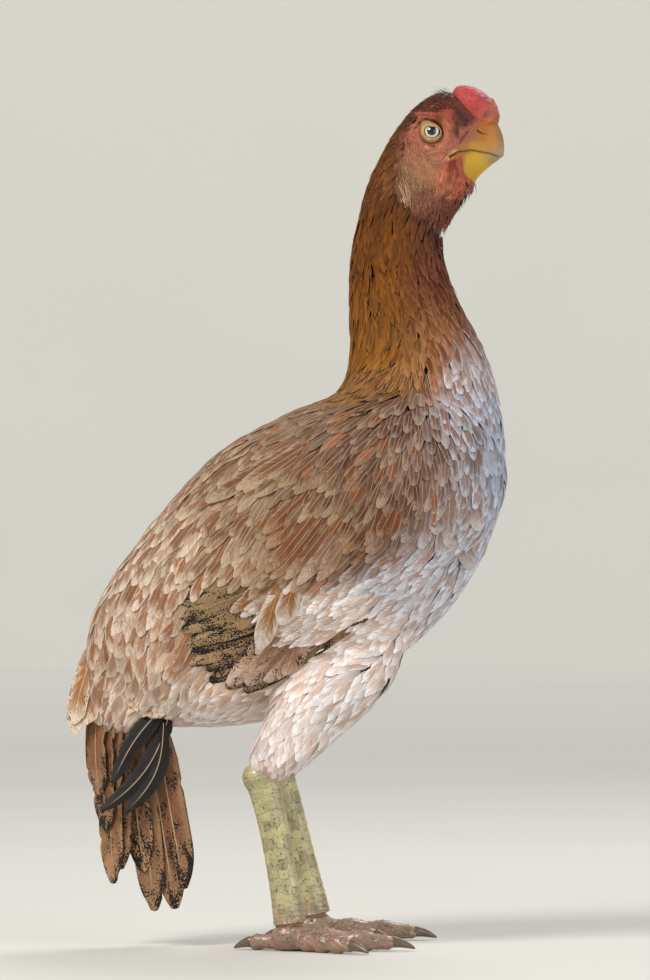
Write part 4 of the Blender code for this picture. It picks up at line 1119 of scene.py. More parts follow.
# Stations of the legs from the top down: place, half depth and half width.
THIGH = (
    ((44, 20, 198), 20, 9),
    ((41, 26, 178), 27, 15),
    ((28, 33, 156), 27, 18),
    ((9, 39, 131), 19, 15.5),
    ((-7, 42, 109), 12, 11),
    ((-12, 42, 101), 9.5, 9.5),
)
SHANK = (
    ((-15, 42, 107), 7, 6.5),
    ((-14, 42, 101), 10.2, 8.6),
    ((-11, 42, 92), 9.2, 7.9),
    ((-6, 42.5, 70), 8.2, 6.9),
    ((-1, 43, 42), 8.1, 6.8),
    ((2, 43, 24), 8.8, 8.2),
    ((3, 43, 16), 9.2, 9.4),
)
LEG_FORWARD = {"right": 0.0, "left": 14.0}
HIP_HEIGHT, ANKLE_HEIGHT = 200, 16
HUB_AT, HUB_SIZE = (4, 43, 8.5), (12, 11, 9.5)
# Degrees from straight ahead, length, and radius at root and end.
TOES = {
    "middle": (5, 57, 6.9, 5.0),
    "inner": (-36, 42, 6.5, 4.7),
    "outer": (42, 45, 6.3, 4.6),
    "hind": (-162, 23, 5.4, 4.3),
}
TOE_JOINTS = {"middle": 3, "inner": 2, "outer": 4, "hind": 1}
TOE_START, TOE_SLIM = 2.0, 0.6
CLAW_LENGTH, CLAW_R, CLAW_DROP, HIND_CLAW = 12.0, 2.9, 3.4, 0.8


def leg_way(stations: Sequence[Any], word: str) -> Array:
    """A leg's stations as rows of x, y, z, fore and across, set forward as that leg stands."""
    rows = []
    for (x, y, z), fore, across in stations:
        share = (HIP_HEIGHT - z) / (HIP_HEIGHT - ANKLE_HEIGHT)
        rows.append((x + LEG_FORWARD[word] * share, y * SIDES[word], z, fore, across))
    return np.array(rows, float)


def leg_frame(way: Array, share: Array) -> tuple[Array, Array, Array]:
    """A leg's middle line, the way to its front and its five values, at shares from top to bottom."""
    above, values, below = (through(way, (share + d) * (len(way) - 1)) for d in (-0.01, 0.0, 0.01))
    down = unit(below[..., :3] - above[..., :3])
    front = unit(AHEAD - down * (AHEAD * down).sum(-1, keepdims=True))
    return values[..., :3], front, values


def leg_loft(name: str, way: Array, rings: int, around: int, slim: float = 0.0) -> bpy.types.Object:
    """A closed body round a leg's stations, thinner by some millimetres.

    Args:
        name: the object's name.
        way: the stations.
        rings: how many rings.
        around: points in a ring.
        slim: by how much it is thinner.

    Returns:
        The object, in the hen's own frame.
    """
    share = np.linspace(0, 1, rings)
    centre, front, values = leg_frame(way, share)
    angle = np.arange(around) * 2 * math.pi / around
    fore = np.maximum(values[:, 3] - slim, 2.0)[:, None, None] * np.cos(angle)[None, :, None]
    wide = np.maximum(values[:, 4] - slim, 2.0)[:, None, None] * np.sin(angle)[None, :, None]
    return loft(name, centre[:, None] + front[:, None] * fore + LEFT * wide, centre[[0, -1]])


def toe_way(toe: str, word: str) -> tuple[Array, Array, Array, Triple]:
    """Where a toe starts, the way it points, the way across, and its length and radii."""
    heading, length, root_r, end_r = TOES[toe]
    turn = math.radians(heading) * SIDES[word]
    ahead = np.array((math.cos(turn), math.sin(turn), 0.0))
    origin = np.array((HUB_AT[0] + LEG_FORWARD[word], HUB_AT[1] * SIDES[word], 0.0))
    return origin, ahead, np.array((-ahead[1], ahead[0], 0.0)), (length, root_r, end_r)


def toe_shape(share: Array, root_r: float, end_r: float, joints: int) -> tuple[Array, Array, Array]:
    """A toe's radius, its middle's height and its pads' depth: full at each joint, round at the tip.

    Args:
        share: places from the toe's root to its end, 0 to 1.
        root_r: radius at the root.
        end_r: radius at the end.
        joints: how many joints.

    Returns:
        The three values at each place.
    """
    wave = np.cos(2 * math.pi * share * joints)
    full = root_r + (end_r - root_r) * share + 0.35 * wave - TOE_SLIM
    tip = np.clip((share - 0.78) / 0.22, 0, 1)
    close = np.sqrt(1 - (0.88 * tip) ** 2)
    return full * close, full + 1.0 - 0.8 * tip**2, 0.7 * (1 + wave) * close

# Folds and hollows of the face in the side view: start, end, spread and rise.
FOLDS = (
    ((77.5, 480.4), (90.0, 480.0), 2.2, 3.0),
    ((90.0, 480.0), (97.5, 473.6), 1.9, 2.2),
    ((75.5, 484.5), (91, 485.4), 1.3, -1.1),
    ((79, 457), (92, 461), 4.6, 1.2),
    ((86.3, 471.3), (86.3, 471.3), 8.0, -1.5),
    ((99.6, 479.7), (101.3, 472.5), 1.5, -1.3),
    ((101.3, 472.5), (99.4, 465.2), 1.5, -1.3),
    ((101, 470), (107, 467), 4.5, -1.4),
    ((74.5, 476), (73.5, 466), 1.6, 1.0),
    ((73.5, 466), (78.5, 458.5), 1.6, 1.0),
    ((71, 458), (70, 449), 4.0, 1.1),
    ((101.7, 455.2), (102.3, 443.8), 2.0, 1.7),
    ((102.3, 443.8), (98.8, 436.5), 2.0, 1.6),
    ((95.5, 453.2), (91.9, 442.5), 1.8, 1.5),
    ((91.9, 442.5), (88.7, 432.6), 1.8, 1.4),
    ((98.6, 452.5), (97.2, 441.5), 1.0, -1.3),
    ((105.5, 444.0), (91.0, 431.5), 1.3, -1.8),
    ((80, 434), (91, 438), 2.4, -1.3),
    ((67.8, 466.4), (66.0, 457.2), 1.5, 0.9),
    ((68.5, 462.0), (68.5, 462.0), 2.0, -2.2),
    ((96.0, 457.6), (101.6, 461.2), 1.0, 1.0),
    ((95.6, 454.6), (101.8, 457.6), 1.2, 1.2),
    ((96.4, 456.6), (102, 459.7), 0.5, -1.5),
)

# Painted shadows along the face's creases: start, end, spread and darkness.
CREASE_SHADOWS = (
    ((79.0, 476.2), (83.6, 478.0), 0.8, 0.7),
    ((83.6, 478.0), (90.9, 474.5), 0.8, 0.8),
    ((90.9, 474.5), (92.8, 470.4), 0.7, 0.5),
    ((78.6, 470.6), (80.8, 465.8), 0.6, 0.4),
    ((81.6, 465.4), (87.4, 463.0), 0.9, 0.7),
    ((87.4, 463.0), (91.2, 465.4), 0.8, 0.5),
    ((76.5, 481.5), (90.5, 480.4), 0.6, 0.4),
    ((80.5, 484.2), (95.0, 482.6), 0.6, 0.4),
    ((100.4, 478.0), (100.9, 468.0), 0.9, 0.55),
    ((100.6, 482.5), (104.5, 476.0), 2.2, 0.5),
    ((99.6, 454.6), (101.0, 446.5), 0.8, 0.5),
    ((101.0, 446.5), (98.2, 439.6), 0.8, 0.5),
    ((100.0, 438.2), (91.0, 432.4), 1.0, 0.6),
    ((96.6, 453.6), (96.2, 444.0), 0.7, 0.35),
    ((62.6, 457.0), (66.0, 454.6), 1.0, 0.5),
)

# The bare skin's tones, by place.
SKIN_TONES = (
    ((86, 481), (11, 3.6), "#AC4634"),
    ((86.3, 471.3), (9, 9), "#B86C48"),
    ((76, 470), (6, 9), "#B86648"),
    ((79, 452), (11, 8), "#B67A58"),
    ((96, 468), (4, 7), "#B26A52"),
    ((99, 447), (5, 8), "#B04C3C"),
    ((104, 452), (4, 6), "#B85A3C"),
    ((94, 440), (8, 7), "#CC7A54"),
    ((102, 432), (10, 8), "#C8623E"),
    ((88, 430), (10, 8), "#A2644A"),
    ((92, 422), (14, 9), "#94543C"),
    ((88, 490), (13, 5), "#70301C"),
    ((103, 481), (4, 6), "#5E2C20"),
    ((105, 470), (5, 5), "#9C5844"),
    ((67.5, 461.5), (5, 7), "#784828"),
    ((62, 475), (12, 14), "#5E3216"),
    ((60, 445), (13, 18), "#6A3C14"),
    ((74, 438), (8, 8), "#9A6A4A"),
)
GAPE = "#C99A50"


def creases(x: Array, z: Array) -> Array:
    """Fine wrinkles of the face, in rings about the eye and along the jowl, between about -1 and 1.

    Args:
        x: places along.
        z: places up.

    Returns:
        One height a place.
    """
    off = np.stack((x, z), -1) - np.array(EYE_AT)
    r = np.linalg.norm(off, axis=1)
    places = np.stack((x, z, np.zeros_like(x)), -1)
    warp = wobble(places, 9.0) * 2.6 + wobble(places, 4.0, 2.0) * 1.1
    rings = np.cos((r + warp) * 2 * math.pi / 1.8)
    behind = step(0.2, 0.8, -off[:, 0] / np.maximum(r, 1)) + step(0.3, 0.9, -off[:, 1] / np.maximum(r, 1))
    over = step(0.5, 0.9, off[:, 1] / np.maximum(r, 1)) * 0.8
    band = step(7.2, 8.6, r) * (1 - step(17.0, 25.0, r)) * np.clip(behind + over + 0.2, 0, 1)
    jowl = np.exp(-(((x - 97) / 9.0) ** 2) - ((z - 443) / 11.0) ** 2)
    slant = np.cos(((x - 98) * 0.92 + (z - 443) * 0.28 + warp) * 2 * math.pi / 2.0)
    patchy = 0.6 + 0.7 * wobble(places, 4.0, 6.0)
    return (rings * band + slant * jowl) * patchy


def relief(x: Array, z: Array) -> Array:
    """How far the face's bare skin stands out or in where the side view shows x, z."""
    at = np.stack((x, z), -1)
    total = 0.36 * creases(x, z)
    for start, end, spread, rise in FOLDS:
        away, _ = near_line(at, (start, end))
        total += rise * np.exp(-((away / spread) ** 2))
    return total


def arm_lift(x: Array, z: Array) -> Array:
    """Height of the folded wing over the flank.

    Args:
        x: places along.
        z: places up.

    Returns:
        One height a place.
    """
    height = np.zeros(np.shape(x))
    for (cx, cz), (long, short), slope, high in ARMS:
        u = (x - cx) * math.cos(slope) + (z - cz) * math.sin(slope)
        v = (z - cz) * math.cos(slope) - (x - cx) * math.sin(slope)
        height = np.maximum(height, high * np.sqrt(np.maximum(0.0, 1 - (u / long) ** 2 - (v / short) ** 2)))
    return height


def wing_mound(name: str, side: int, arm: int, less: float) -> bpy.types.Object:
    """One dome of the folded wing, lower by some millimetres.

    Args:
        name: the object's name.
        side: -1 on her right and 1 on her left.
        arm: which dome.
        less: by how much it is lower and smaller.

    Returns:
        The object, in the hen's own frame.
    """
    (cx, cz), (long, short), slope, high = ARMS[arm]
    tilt = np.linspace(0.04, math.pi - 0.04, 22)[:, None]
    angle = np.arange(48)[None] * 2 * math.pi / 48
    u, v = (long - less) * np.sin(tilt) * np.cos(angle), (short - less) * np.sin(tilt) * np.sin(angle)
    x = cx + u * math.cos(slope) - v * math.sin(slope)
    z = cz + u * math.sin(slope) + v * math.cos(slope)
    height = np.broadcast_to(np.where(np.cos(tilt) > 0, high - less, 9.0) * np.cos(tilt), x.shape)
    rings = FORM.on_wing(x.ravel(), z.ravel(), side, height.ravel()).reshape(*x.shape, 3)
    return loft(name, rings, np.stack((rings[0].mean(0), rings[-1].mean(0))))


def trunk(
    name: str, lift: float | None, rings: Sequence[Triple], around: int, face: bool
) -> bpy.types.Object:
    """The closed body from stern to bill.

    Args:
        name: the object's name.
        lift: how far it lies off the form, or None for the skin's own depth under the coat.
        rings: runs of sections as first, last and count.
        around: points in a ring.
        face: whether the face's folds and eye sockets are in it.

    Returns:
        The object, in the hen's own frame.
    """
    t = np.concatenate([np.linspace(a, b, n, endpoint=False) for a, b, n in rings] + [[FORM_END]])[:, None]
    angle = (np.arange(around) + 0.5)[None] * 2 * math.pi / around
    points, normal = FORM.point(t, angle), FORM.normal(t, angle)
    depth = np.interp(t, *np.array(TRUNK_LIFT).T) if lift is None else np.full(t.shape, lift)
    moved = points + normal * np.broadcast_to(depth[..., None], points.shape)
    if face:
        flat = points.reshape(-1, 3)
        raised = (relief(flat[:, 0], flat[:, 2]) * step(427, 437, flat[:, 2])).reshape(points.shape[:2])
        moved += normal * (raised * np.abs(np.sin(angle)) ** 0.8)[..., None]
        off = np.linalg.norm(points[..., [0, 2]] - np.array(EYE_AT), axis=-1)
        hollow = (1 - step(5.6, 6.9, off)) * (np.abs(points[..., 1]) > 6) * 4.6
        moved -= normal * hollow[..., None]
    back, belly = (FORM.point(np.array([0.0, FORM_END]), turn) for turn in (0.0, math.pi))
    poles = (back + belly) / 2
    poles[0, 0] -= 2.0
    return loft(name, moved, poles)


def body_union(name: str, skin: bool) -> bpy.types.Object:
    """One closed surface of trunk, tail root, wing arms, thighs and legs.

    Args:
        name: the object's name.
        skin: True for the skin itself, False for the surface that the coat springs from.

    Returns:
        The object, in the hen's own frame.
    """
    if skin:
        body = trunk(name, None, ((0, 8, 64), (8, 13, 56), (13, FORM_END, 210)), 200, True)
    else:
        body = trunk(name, 0.0, ((0, 8, 60), (8, 13, 40), (13, FORM_END, 40)), 96, False)
    parts = []
    (x, y, z), size = TAIL_CORE
    less = 3.0 if skin else 0.0
    parts.append(ball("tail_root", (x, y, z), [s - less for s in size]))
    for word, side in SIDES.items():
        parts.append(wing_mound(f"arm_{word}", side, 0, 4.5 if skin else 0.0))
        if not skin:
            parts.append(wing_mound(f"hand_{word}", side, 1, 0.0))
        parts.append(leg_loft(f"thigh_way_{word}", leg_way(THIGH, word), 40, 40, 4.0 if skin else 0.0))
        if skin:
            parts.append(foot_body(word))
    return combine(body, "UNION", parts)


def foot_body(word: str) -> bpy.types.Object:
    """Shank, hub and toes of one leg as one smooth closed body.

    Args:
        word: which leg.

    Returns:
        The object, in the hen's own frame.
    """
    shank = leg_loft(f"shank_way_{word}", leg_way(SHANK, word), 60, 36)
    hub = (HUB_AT[0] + LEG_FORWARD[word], HUB_AT[1] * SIDES[word], HUB_AT[2])
    parts = [ball("hub", hub, [s - 0.8 for s in HUB_SIZE])]
    angle = np.arange(28) * 2 * math.pi / 28
    for toe, joints in TOE_JOINTS.items():
        origin, ahead, across, (length, root_r, end_r) = toe_way(toe, word)
        share = np.linspace(0, 1, 40)
        radius, height, pad = toe_shape(share, root_r, end_r, joints)
        up, out = np.cos(angle), np.sin(angle)
        grow = radius[:, None] + pad[:, None] * np.maximum(0, -up)[None]
        centre = origin + ahead * (TOE_START + length * share)[:, None] + UP * height[:, None]
        rings = centre[:, None] + across * (grow * out * 0.94)[..., None] + UP * (grow * up)[..., None]
        parts.append(loft(f"toe_{toe}_{word}", rings, centre[[0, -1]]))
    foot = combine(shank, "UNION", parts)
    remesh(foot, 0.78, 4)
    points, normals = vertices(foot.data) / MM, vertices(foot.data, "normal")
    pebble = 0.30 * (1 - step(18, 26, points[:, 2])) + 0.08
    points = points + normals * (pebble * wobble(points, 1.9, 3.0))[:, None]
    move_to(foot, points * MM)
    floor = slab("floor_room", ((-80, 0), (140, 0), (140, -20), (-80, -20)), 130)
    return combine(foot, "DIFFERENCE", [floor])


@dataclass
class Hide:
    """Her skin: one closed surface under the whole coat, bare on face and legs."""

    down: TintedSkin = TintedSkin("down_skin", roughness=0.8, blood=0.0, mottle=0.15, depth=0.0001)
    face: TintedSkin = TintedSkin("bare_face_skin", roughness=0.46)
    legs: Horn = Horn(
        "leg_skin", "#B89A50", "#6A6252", "#D2B874",
        grain=0.5, stretch=(1, 1, 1), tinted=True, specks=0.6, stain=0.3, veins=0.3,
    )
    leg_top: float = 113.0
    face_from: tuple[Pair, ...] = ((70, 500), (64, 470), (62, 452), (76, 424), (100, 404))

    def make(self) -> tuple[bpy.types.Object, "Unwrap"]:
        """Builds the skin, its tints and its unwrap.

        Returns:
            The skin and the finder of places on its unwrap.
        """
        skin = body_union("skin", True)
        outline = [*BILL_BASE, (140, BILL_BASE[-1][1]), (140, BILL_BASE[0][1])]
        combine(skin, "DIFFERENCE", [slab("bill_room", outline)])
        own = vertices(skin.data) / MM
        settle(skin)
        mesh = skin.data
        self.unwrap(skin)
        put(mesh, "tint", "FLOAT_COLOR", self.tints(own))
        mesh.materials.clear()
        for finish in (self.down, self.face, self.legs):
            mesh.materials.append(finish.make())
        place = pull(mesh.polygons, "center", 3) / MM
        along, up = np.array(self.face_from[::-1]).T
        bare = (place[:, 2] > up[0]) & (place[:, 0] > np.interp(place[:, 2], up, along))
        index = np.where(place[:, 2] < self.leg_top, 2, np.where(bare, 1, 0)).astype(np.int32)
        mesh.polygons.foreach_set("material_index", index)
        mesh.shade_smooth()
        mesh.set_sharp_from_angle(angle=math.radians(60))
        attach(skin, "root")
        legs = [f"{part}_{word}" for word in SIDES for part in ("thigh", "shank", "foot")]
        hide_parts("torso", "neck", "head", *legs)
        return skin, Unwrap(skin)

    def unwrap(self, skin: bpy.types.Object) -> None:
        """Lays the skin's own shape out flat for the bake."""
        for layer in list(skin.data.uv_layers):
            skin.data.uv_layers.remove(layer)
        skin.data.uv_layers.new(name=BAKE_MAP)
        bpy.context.view_layer.objects.active = skin
        skin.select_set(True)
        bpy.ops.object.mode_set(mode="EDIT")
        bpy.ops.mesh.select_all(action="SELECT")
        bpy.ops.uv.smart_project(angle_limit=math.radians(66), island_margin=0.004)
        bpy.ops.object.mode_set(mode="OBJECT")
        skin.select_set(False)

    def tints(self, points: Array) -> Array:
        """The skin's base colour at each point: bare tones on the head, with painted shade in its wrinkles,
        creases and mouth slit, and the coat's own under feathers.

        Args:
            points: places in the hen's own millimetres, one a row.

        Returns:
            One colour a point.
        """
        under = COAT_MAP.colours(points, "centre") * 0.5 + COAT_MAP.colours(points, "rim") * 0.4
        bare = blended(points, SKIN_TONES)
        flush = 1 + 0.10 * wobble(points, 5.0)[:, None] + 0.07 * wobble(points, 2.0, 3.0)[:, None]
        flank = np.abs(points[:, 1]) > 5
        # Painted shade in the troughs of the face's fine wrinkles, and a little painted light on their
        # ridges.
        deep_shade = 1 + 0.42 * np.clip(creases(points[:, 0], points[:, 2]) - 0.15, -1, 0.6) * flank
        # Each crease gets a painted shadow line.
        for start, end, spread, dark in CREASE_SHADOWS:
            away, _ = near_line(points[:, [0, 2]], (start, end))
            deep_shade = deep_shade * (1 - dark * flank * np.exp(-((away / spread) ** 2)))
        away, _ = near_line(points[:, [0, 2]], ((96.4, 456.6), MOUTH_LINE[1]))
        lip = (1 - step(1.1, 2.4, away)) * flank
        bare = bare * (1 - lip[:, None]) + np.array(linear(GAPE)) * lip[:, None]
        # A painted dark line along the slit of the mouth stands for the shadow in it; the gape beside it has
        # its own yellow.
        slit = 1 - 0.8 * (1 - step(0.2, 0.6, away)) * flank
        bare = bare * flush * (deep_shade * slit)[:, None]
        share = step(418, 432, points[:, 2])[:, None]
        colour = under * (1 - share) + bare * share
        leg_low, leg_high = np.array(linear("#9A7664")), np.array(linear("#B2A470"))
        up = step(6, 40, points[:, 2])[:, None]
        leg = leg_low * (1 - up) + leg_high * up
        grey = np.array(linear("#6E6858"))
        dusk = np.clip(0.18 + 0.45 * wobble(points, 8.0, 5.0), 0, 0.6)[:, None]
        leg = leg * (1 - dusk) + grey * dusk
        low = (1 - step(self.leg_top - 6, self.leg_top, points[:, 2]))[:, None]
        colour = colour * (1 - low) + leg * low
        colour[:, 3] = 1.0
        return np.clip(colour, 0, 1)


@dataclass
class Lie:
    """The surface that the coat springs from, and which way its feathers lie."""

    voxel: float = 2.6
    leg_lie: Triple = (-0.45, 0.0, -1.0)
    stern_lie: Triple = (-0.35, 0, -1.0)
    neck: Pair = (332, 358)  # heights between which the marks of the flow give way to the form's own
    rounds: int = 8  # of smoothing

    def __post_init__(self) -> None:
        """Builds the surface and its flow, and takes the mesh away again."""
        obj = body_union("coat_base", False)
        remesh(obj, self.voxel, 8)
        mesh = obj.data
        self.points = vertices(mesh) / MM
        self.normals = unit(vertices(mesh, "normal"))
        mesh.calc_loop_triangles()
        self.triangles = pull(mesh.loop_triangles, "vertices", 3, np.int32)
        self.tree = grow_tree(self.points)
        self.flow = self.settle_flow(pull(mesh.edges, "vertices", 2, np.int32))
        bpy.data.objects.remove(obj)

    def settle_flow(self, edges: Array) -> Array:
        """The lie of the coat at each vertex, smoothed over its neighbours.

        Args:
            edges: pairs of vertex numbers.

        Returns:
            One tangent at length 1 a vertex.
        """
        every, lie = self.known_ways()
        tree = grow_tree(every)
        nearest = [tree.find(p)[1] for p in self.points]
        flow = lie[nearest].copy()
        x, z = self.points[:, 0], self.points[:, 2]
        marks = np.array([at for at, _ in FLOW_MARKS], float)
        turn = np.radians([way for _, way in FLOW_MARKS])
        away = (x[:, None] - marks[:, 0]) ** 2 + (z[:, None] - marks[:, 1]) ** 2
        weight = np.exp(-away / FLOW_REACH**2)
        total = weight.sum(-1, keepdims=True) + 1e-9
        drawn = weight @ np.stack((np.cos(turn), 0 * turn, np.sin(turn)), -1) / total
        share = np.clip(total * 1.6, 0, 1) * (1 - step(*self.neck, z))[:, None]
        flow = flow * (1 - share) + drawn * share
        for _ in range(self.rounds):
            flow = unit(self.level(flow))
            total = flow.copy()
            np.add.at(total, edges[:, 0], flow[edges[:, 1]])
            np.add.at(total, edges[:, 1], flow[edges[:, 0]])
            flow = total
        return unit(self.level(flow))

    def level(self, flow: Array) -> Array:
        """The ways with their part along the surface's normal taken off."""
        return flow - self.normals * (flow * self.normals).sum(-1, keepdims=True)

    def known_ways(self) -> tuple[Array, Array]:
        """Places on trunk, thighs and tail root, and the lie of the coat at each."""
        round_it = np.linspace(0, 2 * math.pi, 72, endpoint=False)
        t, angle = np.meshgrid(np.linspace(0, 19, 150), round_it, indexing="ij")
        spots = [FORM.point(t, angle).reshape(-1, 3)]
        ways = [-FORM.along(t, angle).reshape(-1, 3)]
        for word in SIDES:
            way = leg_way(THIGH, word)
            share = np.repeat(np.linspace(0.05, 1, 40), 24)
            centre, front, values = leg_frame(way, share)
            turn = np.tile(np.arange(24) * math.pi / 12, 40)
            spot = centre + front * (values[:, 3] * np.cos(turn))[:, None]
            spot[:, 1] += values[:, 4] * np.sin(turn)
            outside = values[:, 2] < 165
            spots.append(spot[outside])
            ways.append(np.broadcast_to(np.array(self.leg_lie), spot[outside].shape))
        (x, y, z), size = TAIL_CORE
        turn, lean = np.meshgrid(np.linspace(0, 2 * math.pi, 24), np.linspace(-1.4, 1.4, 12))
        core = np.stack((np.cos(turn) * np.cos(lean), np.sin(lean), np.sin(turn) * np.cos(lean)), -1)
        core = core.reshape(-1, 3)
        spots.append(core * np.array(size) + np.array((x, y, z)))
        ways.append(np.broadcast_to(np.array(self.stern_lie), core.shape))
        return np.concatenate(spots), np.concatenate(ways)

    def drop(self, points: Array) -> tuple[Array, Array, Array]:
        """The nearest places of the surface, with the outward way and the lie there.

        Args:
            points: places in the hen's own millimetres.

        Returns:
            Places, outward ways and lies, one a point.
        """
        found = np.array([[hit[1] for hit in self.tree.find_n(p, 3)] for p in points])
        reach = np.linalg.norm(self.points[found] - points[:, None], axis=-1)
        share = 1 / (reach + 0.3) ** 2
        share = (share / share.sum(-1, keepdims=True))[..., None]
        normal = unit((self.normals[found] * share).sum(1))
        flow = (self.flow[found] * share).sum(1)
        flow = unit(flow - normal * (flow * normal).sum(-1, keepdims=True))
        base = (self.points[found] * share).sum(1)
        return points - normal * ((points - base) * normal).sum(-1, keepdims=True), normal, flow

    def scatter(self, draw: np.random.Generator, tries: int) -> Array:
        """Places spread over the surface, as far apart as the coat's spacing says.

        Args:
            draw: the random numbers.
            tries: how many places are tried.

        Returns:
            The places that were kept.
        """
        a, b, c = (self.points[self.triangles[:, k]] for k in range(3))
        area = np.linalg.norm(np.cross(b - a, c - a), axis=1)
        pick = draw.choice(len(area), tries, p=area / area.sum())
        u, v = draw.random(tries), draw.random(tries)
        over = u + v > 1
        u, v = np.where(over, 1 - u, u)[:, None], np.where(over, 1 - v, v)[:, None]
        spots = a[pick] + (b[pick] - a[pick]) * u + (c[pick] - a[pick]) * v
        apart = COAT_MAP.values(spots, "spacing")
        cell = 4.0
        kept: dict[tuple[int, int, int], list[int]] = {}
        chosen: list[int] = []
        keys = np.floor(spots / cell).astype(int)
        offsets = [(i, j, k) for i in (-2, -1, 0, 1, 2) for j in (-2, -1, 0, 1, 2) for k in (-2, -1, 0, 1, 2)]
        rows, gaps = spots.tolist(), (apart**2).tolist()
        for n, (i, j, k) in enumerate(keys.tolist()):
            x, y, z = rows[n]
            free = True
            for p, q, r in offsets:
                for m in kept.get((i + p, j + q, k + r), ()):
                    ox, oy, oz = rows[m]
                    if (x - ox) ** 2 + (y - oy) ** 2 + (z - oz) ** 2 < gaps[n]:
                        free = False
                        break
                if not free:
                    break
            if free:
                kept.setdefault((i, j, k), []).append(n)
                chosen.append(n)
        return spots[chosen]

    def march(self, roots: Array, length: Array, rows: int, lean: Array) -> tuple[Array, Array]:
        """Follows the lie from each root for a feather's length.

        Args:
            roots: where the feathers spring from.
            length: their lengths.
            rows: places along each.
            lean: how far each feather's way turns aside, in radians.

        Returns:
            The places and the outward ways, feather by row.
        """
        at, normal, flow = self.drop(roots)
        places, normals = [at], [normal]
        pace = (length / (rows - 1))[:, None]
        for _ in range(rows - 1):
            side = np.cross(normal, flow)
            way = flow * np.cos(lean)[:, None] + side * np.sin(lean)[:, None]
            at, normal, flow = self.drop(at + way * pace)
            places.append(at)
            normals.append(normal)
        return np.stack(places, 1), np.stack(normals, 1)


def wide_profile(along: Array, root: float, widens: float, tip_share: float) -> Array:
    """A vane's width along it, as a share of its widest: narrow at the root, round at the tip."""
    share = np.minimum(1.0, root + widens * along)
    past = np.clip((along - tip_share) / (1 - tip_share), 0, 1)
    return share * np.sqrt(np.clip(1 - (0.965 * past) ** 2.0, 0.0, 1.0))


def cut_vanes(width: Array, columns: Array, draw: np.random.Generator, chance: float, depth: Pair) -> Array:
    """The vanes' width with slits here and there in the edges, each side for itself."""
    shape = (*width.shape[:2], 2)
    slit = (draw.random(shape) < chance) * draw.uniform(*depth, shape)
    return width * (1 - np.where(columns < 0, slit[..., :1], slit[..., 1:]) * np.abs(columns) ** 3)


def over_flank(x: Array, z: Array, lift: Array) -> Array:
    """Places over her left flank as the side view shows them, in the arrays' own shape."""
    return FORM.on_wing(x.ravel(), z.ravel(), 1, lift.ravel()).reshape(*lift.shape, 3)


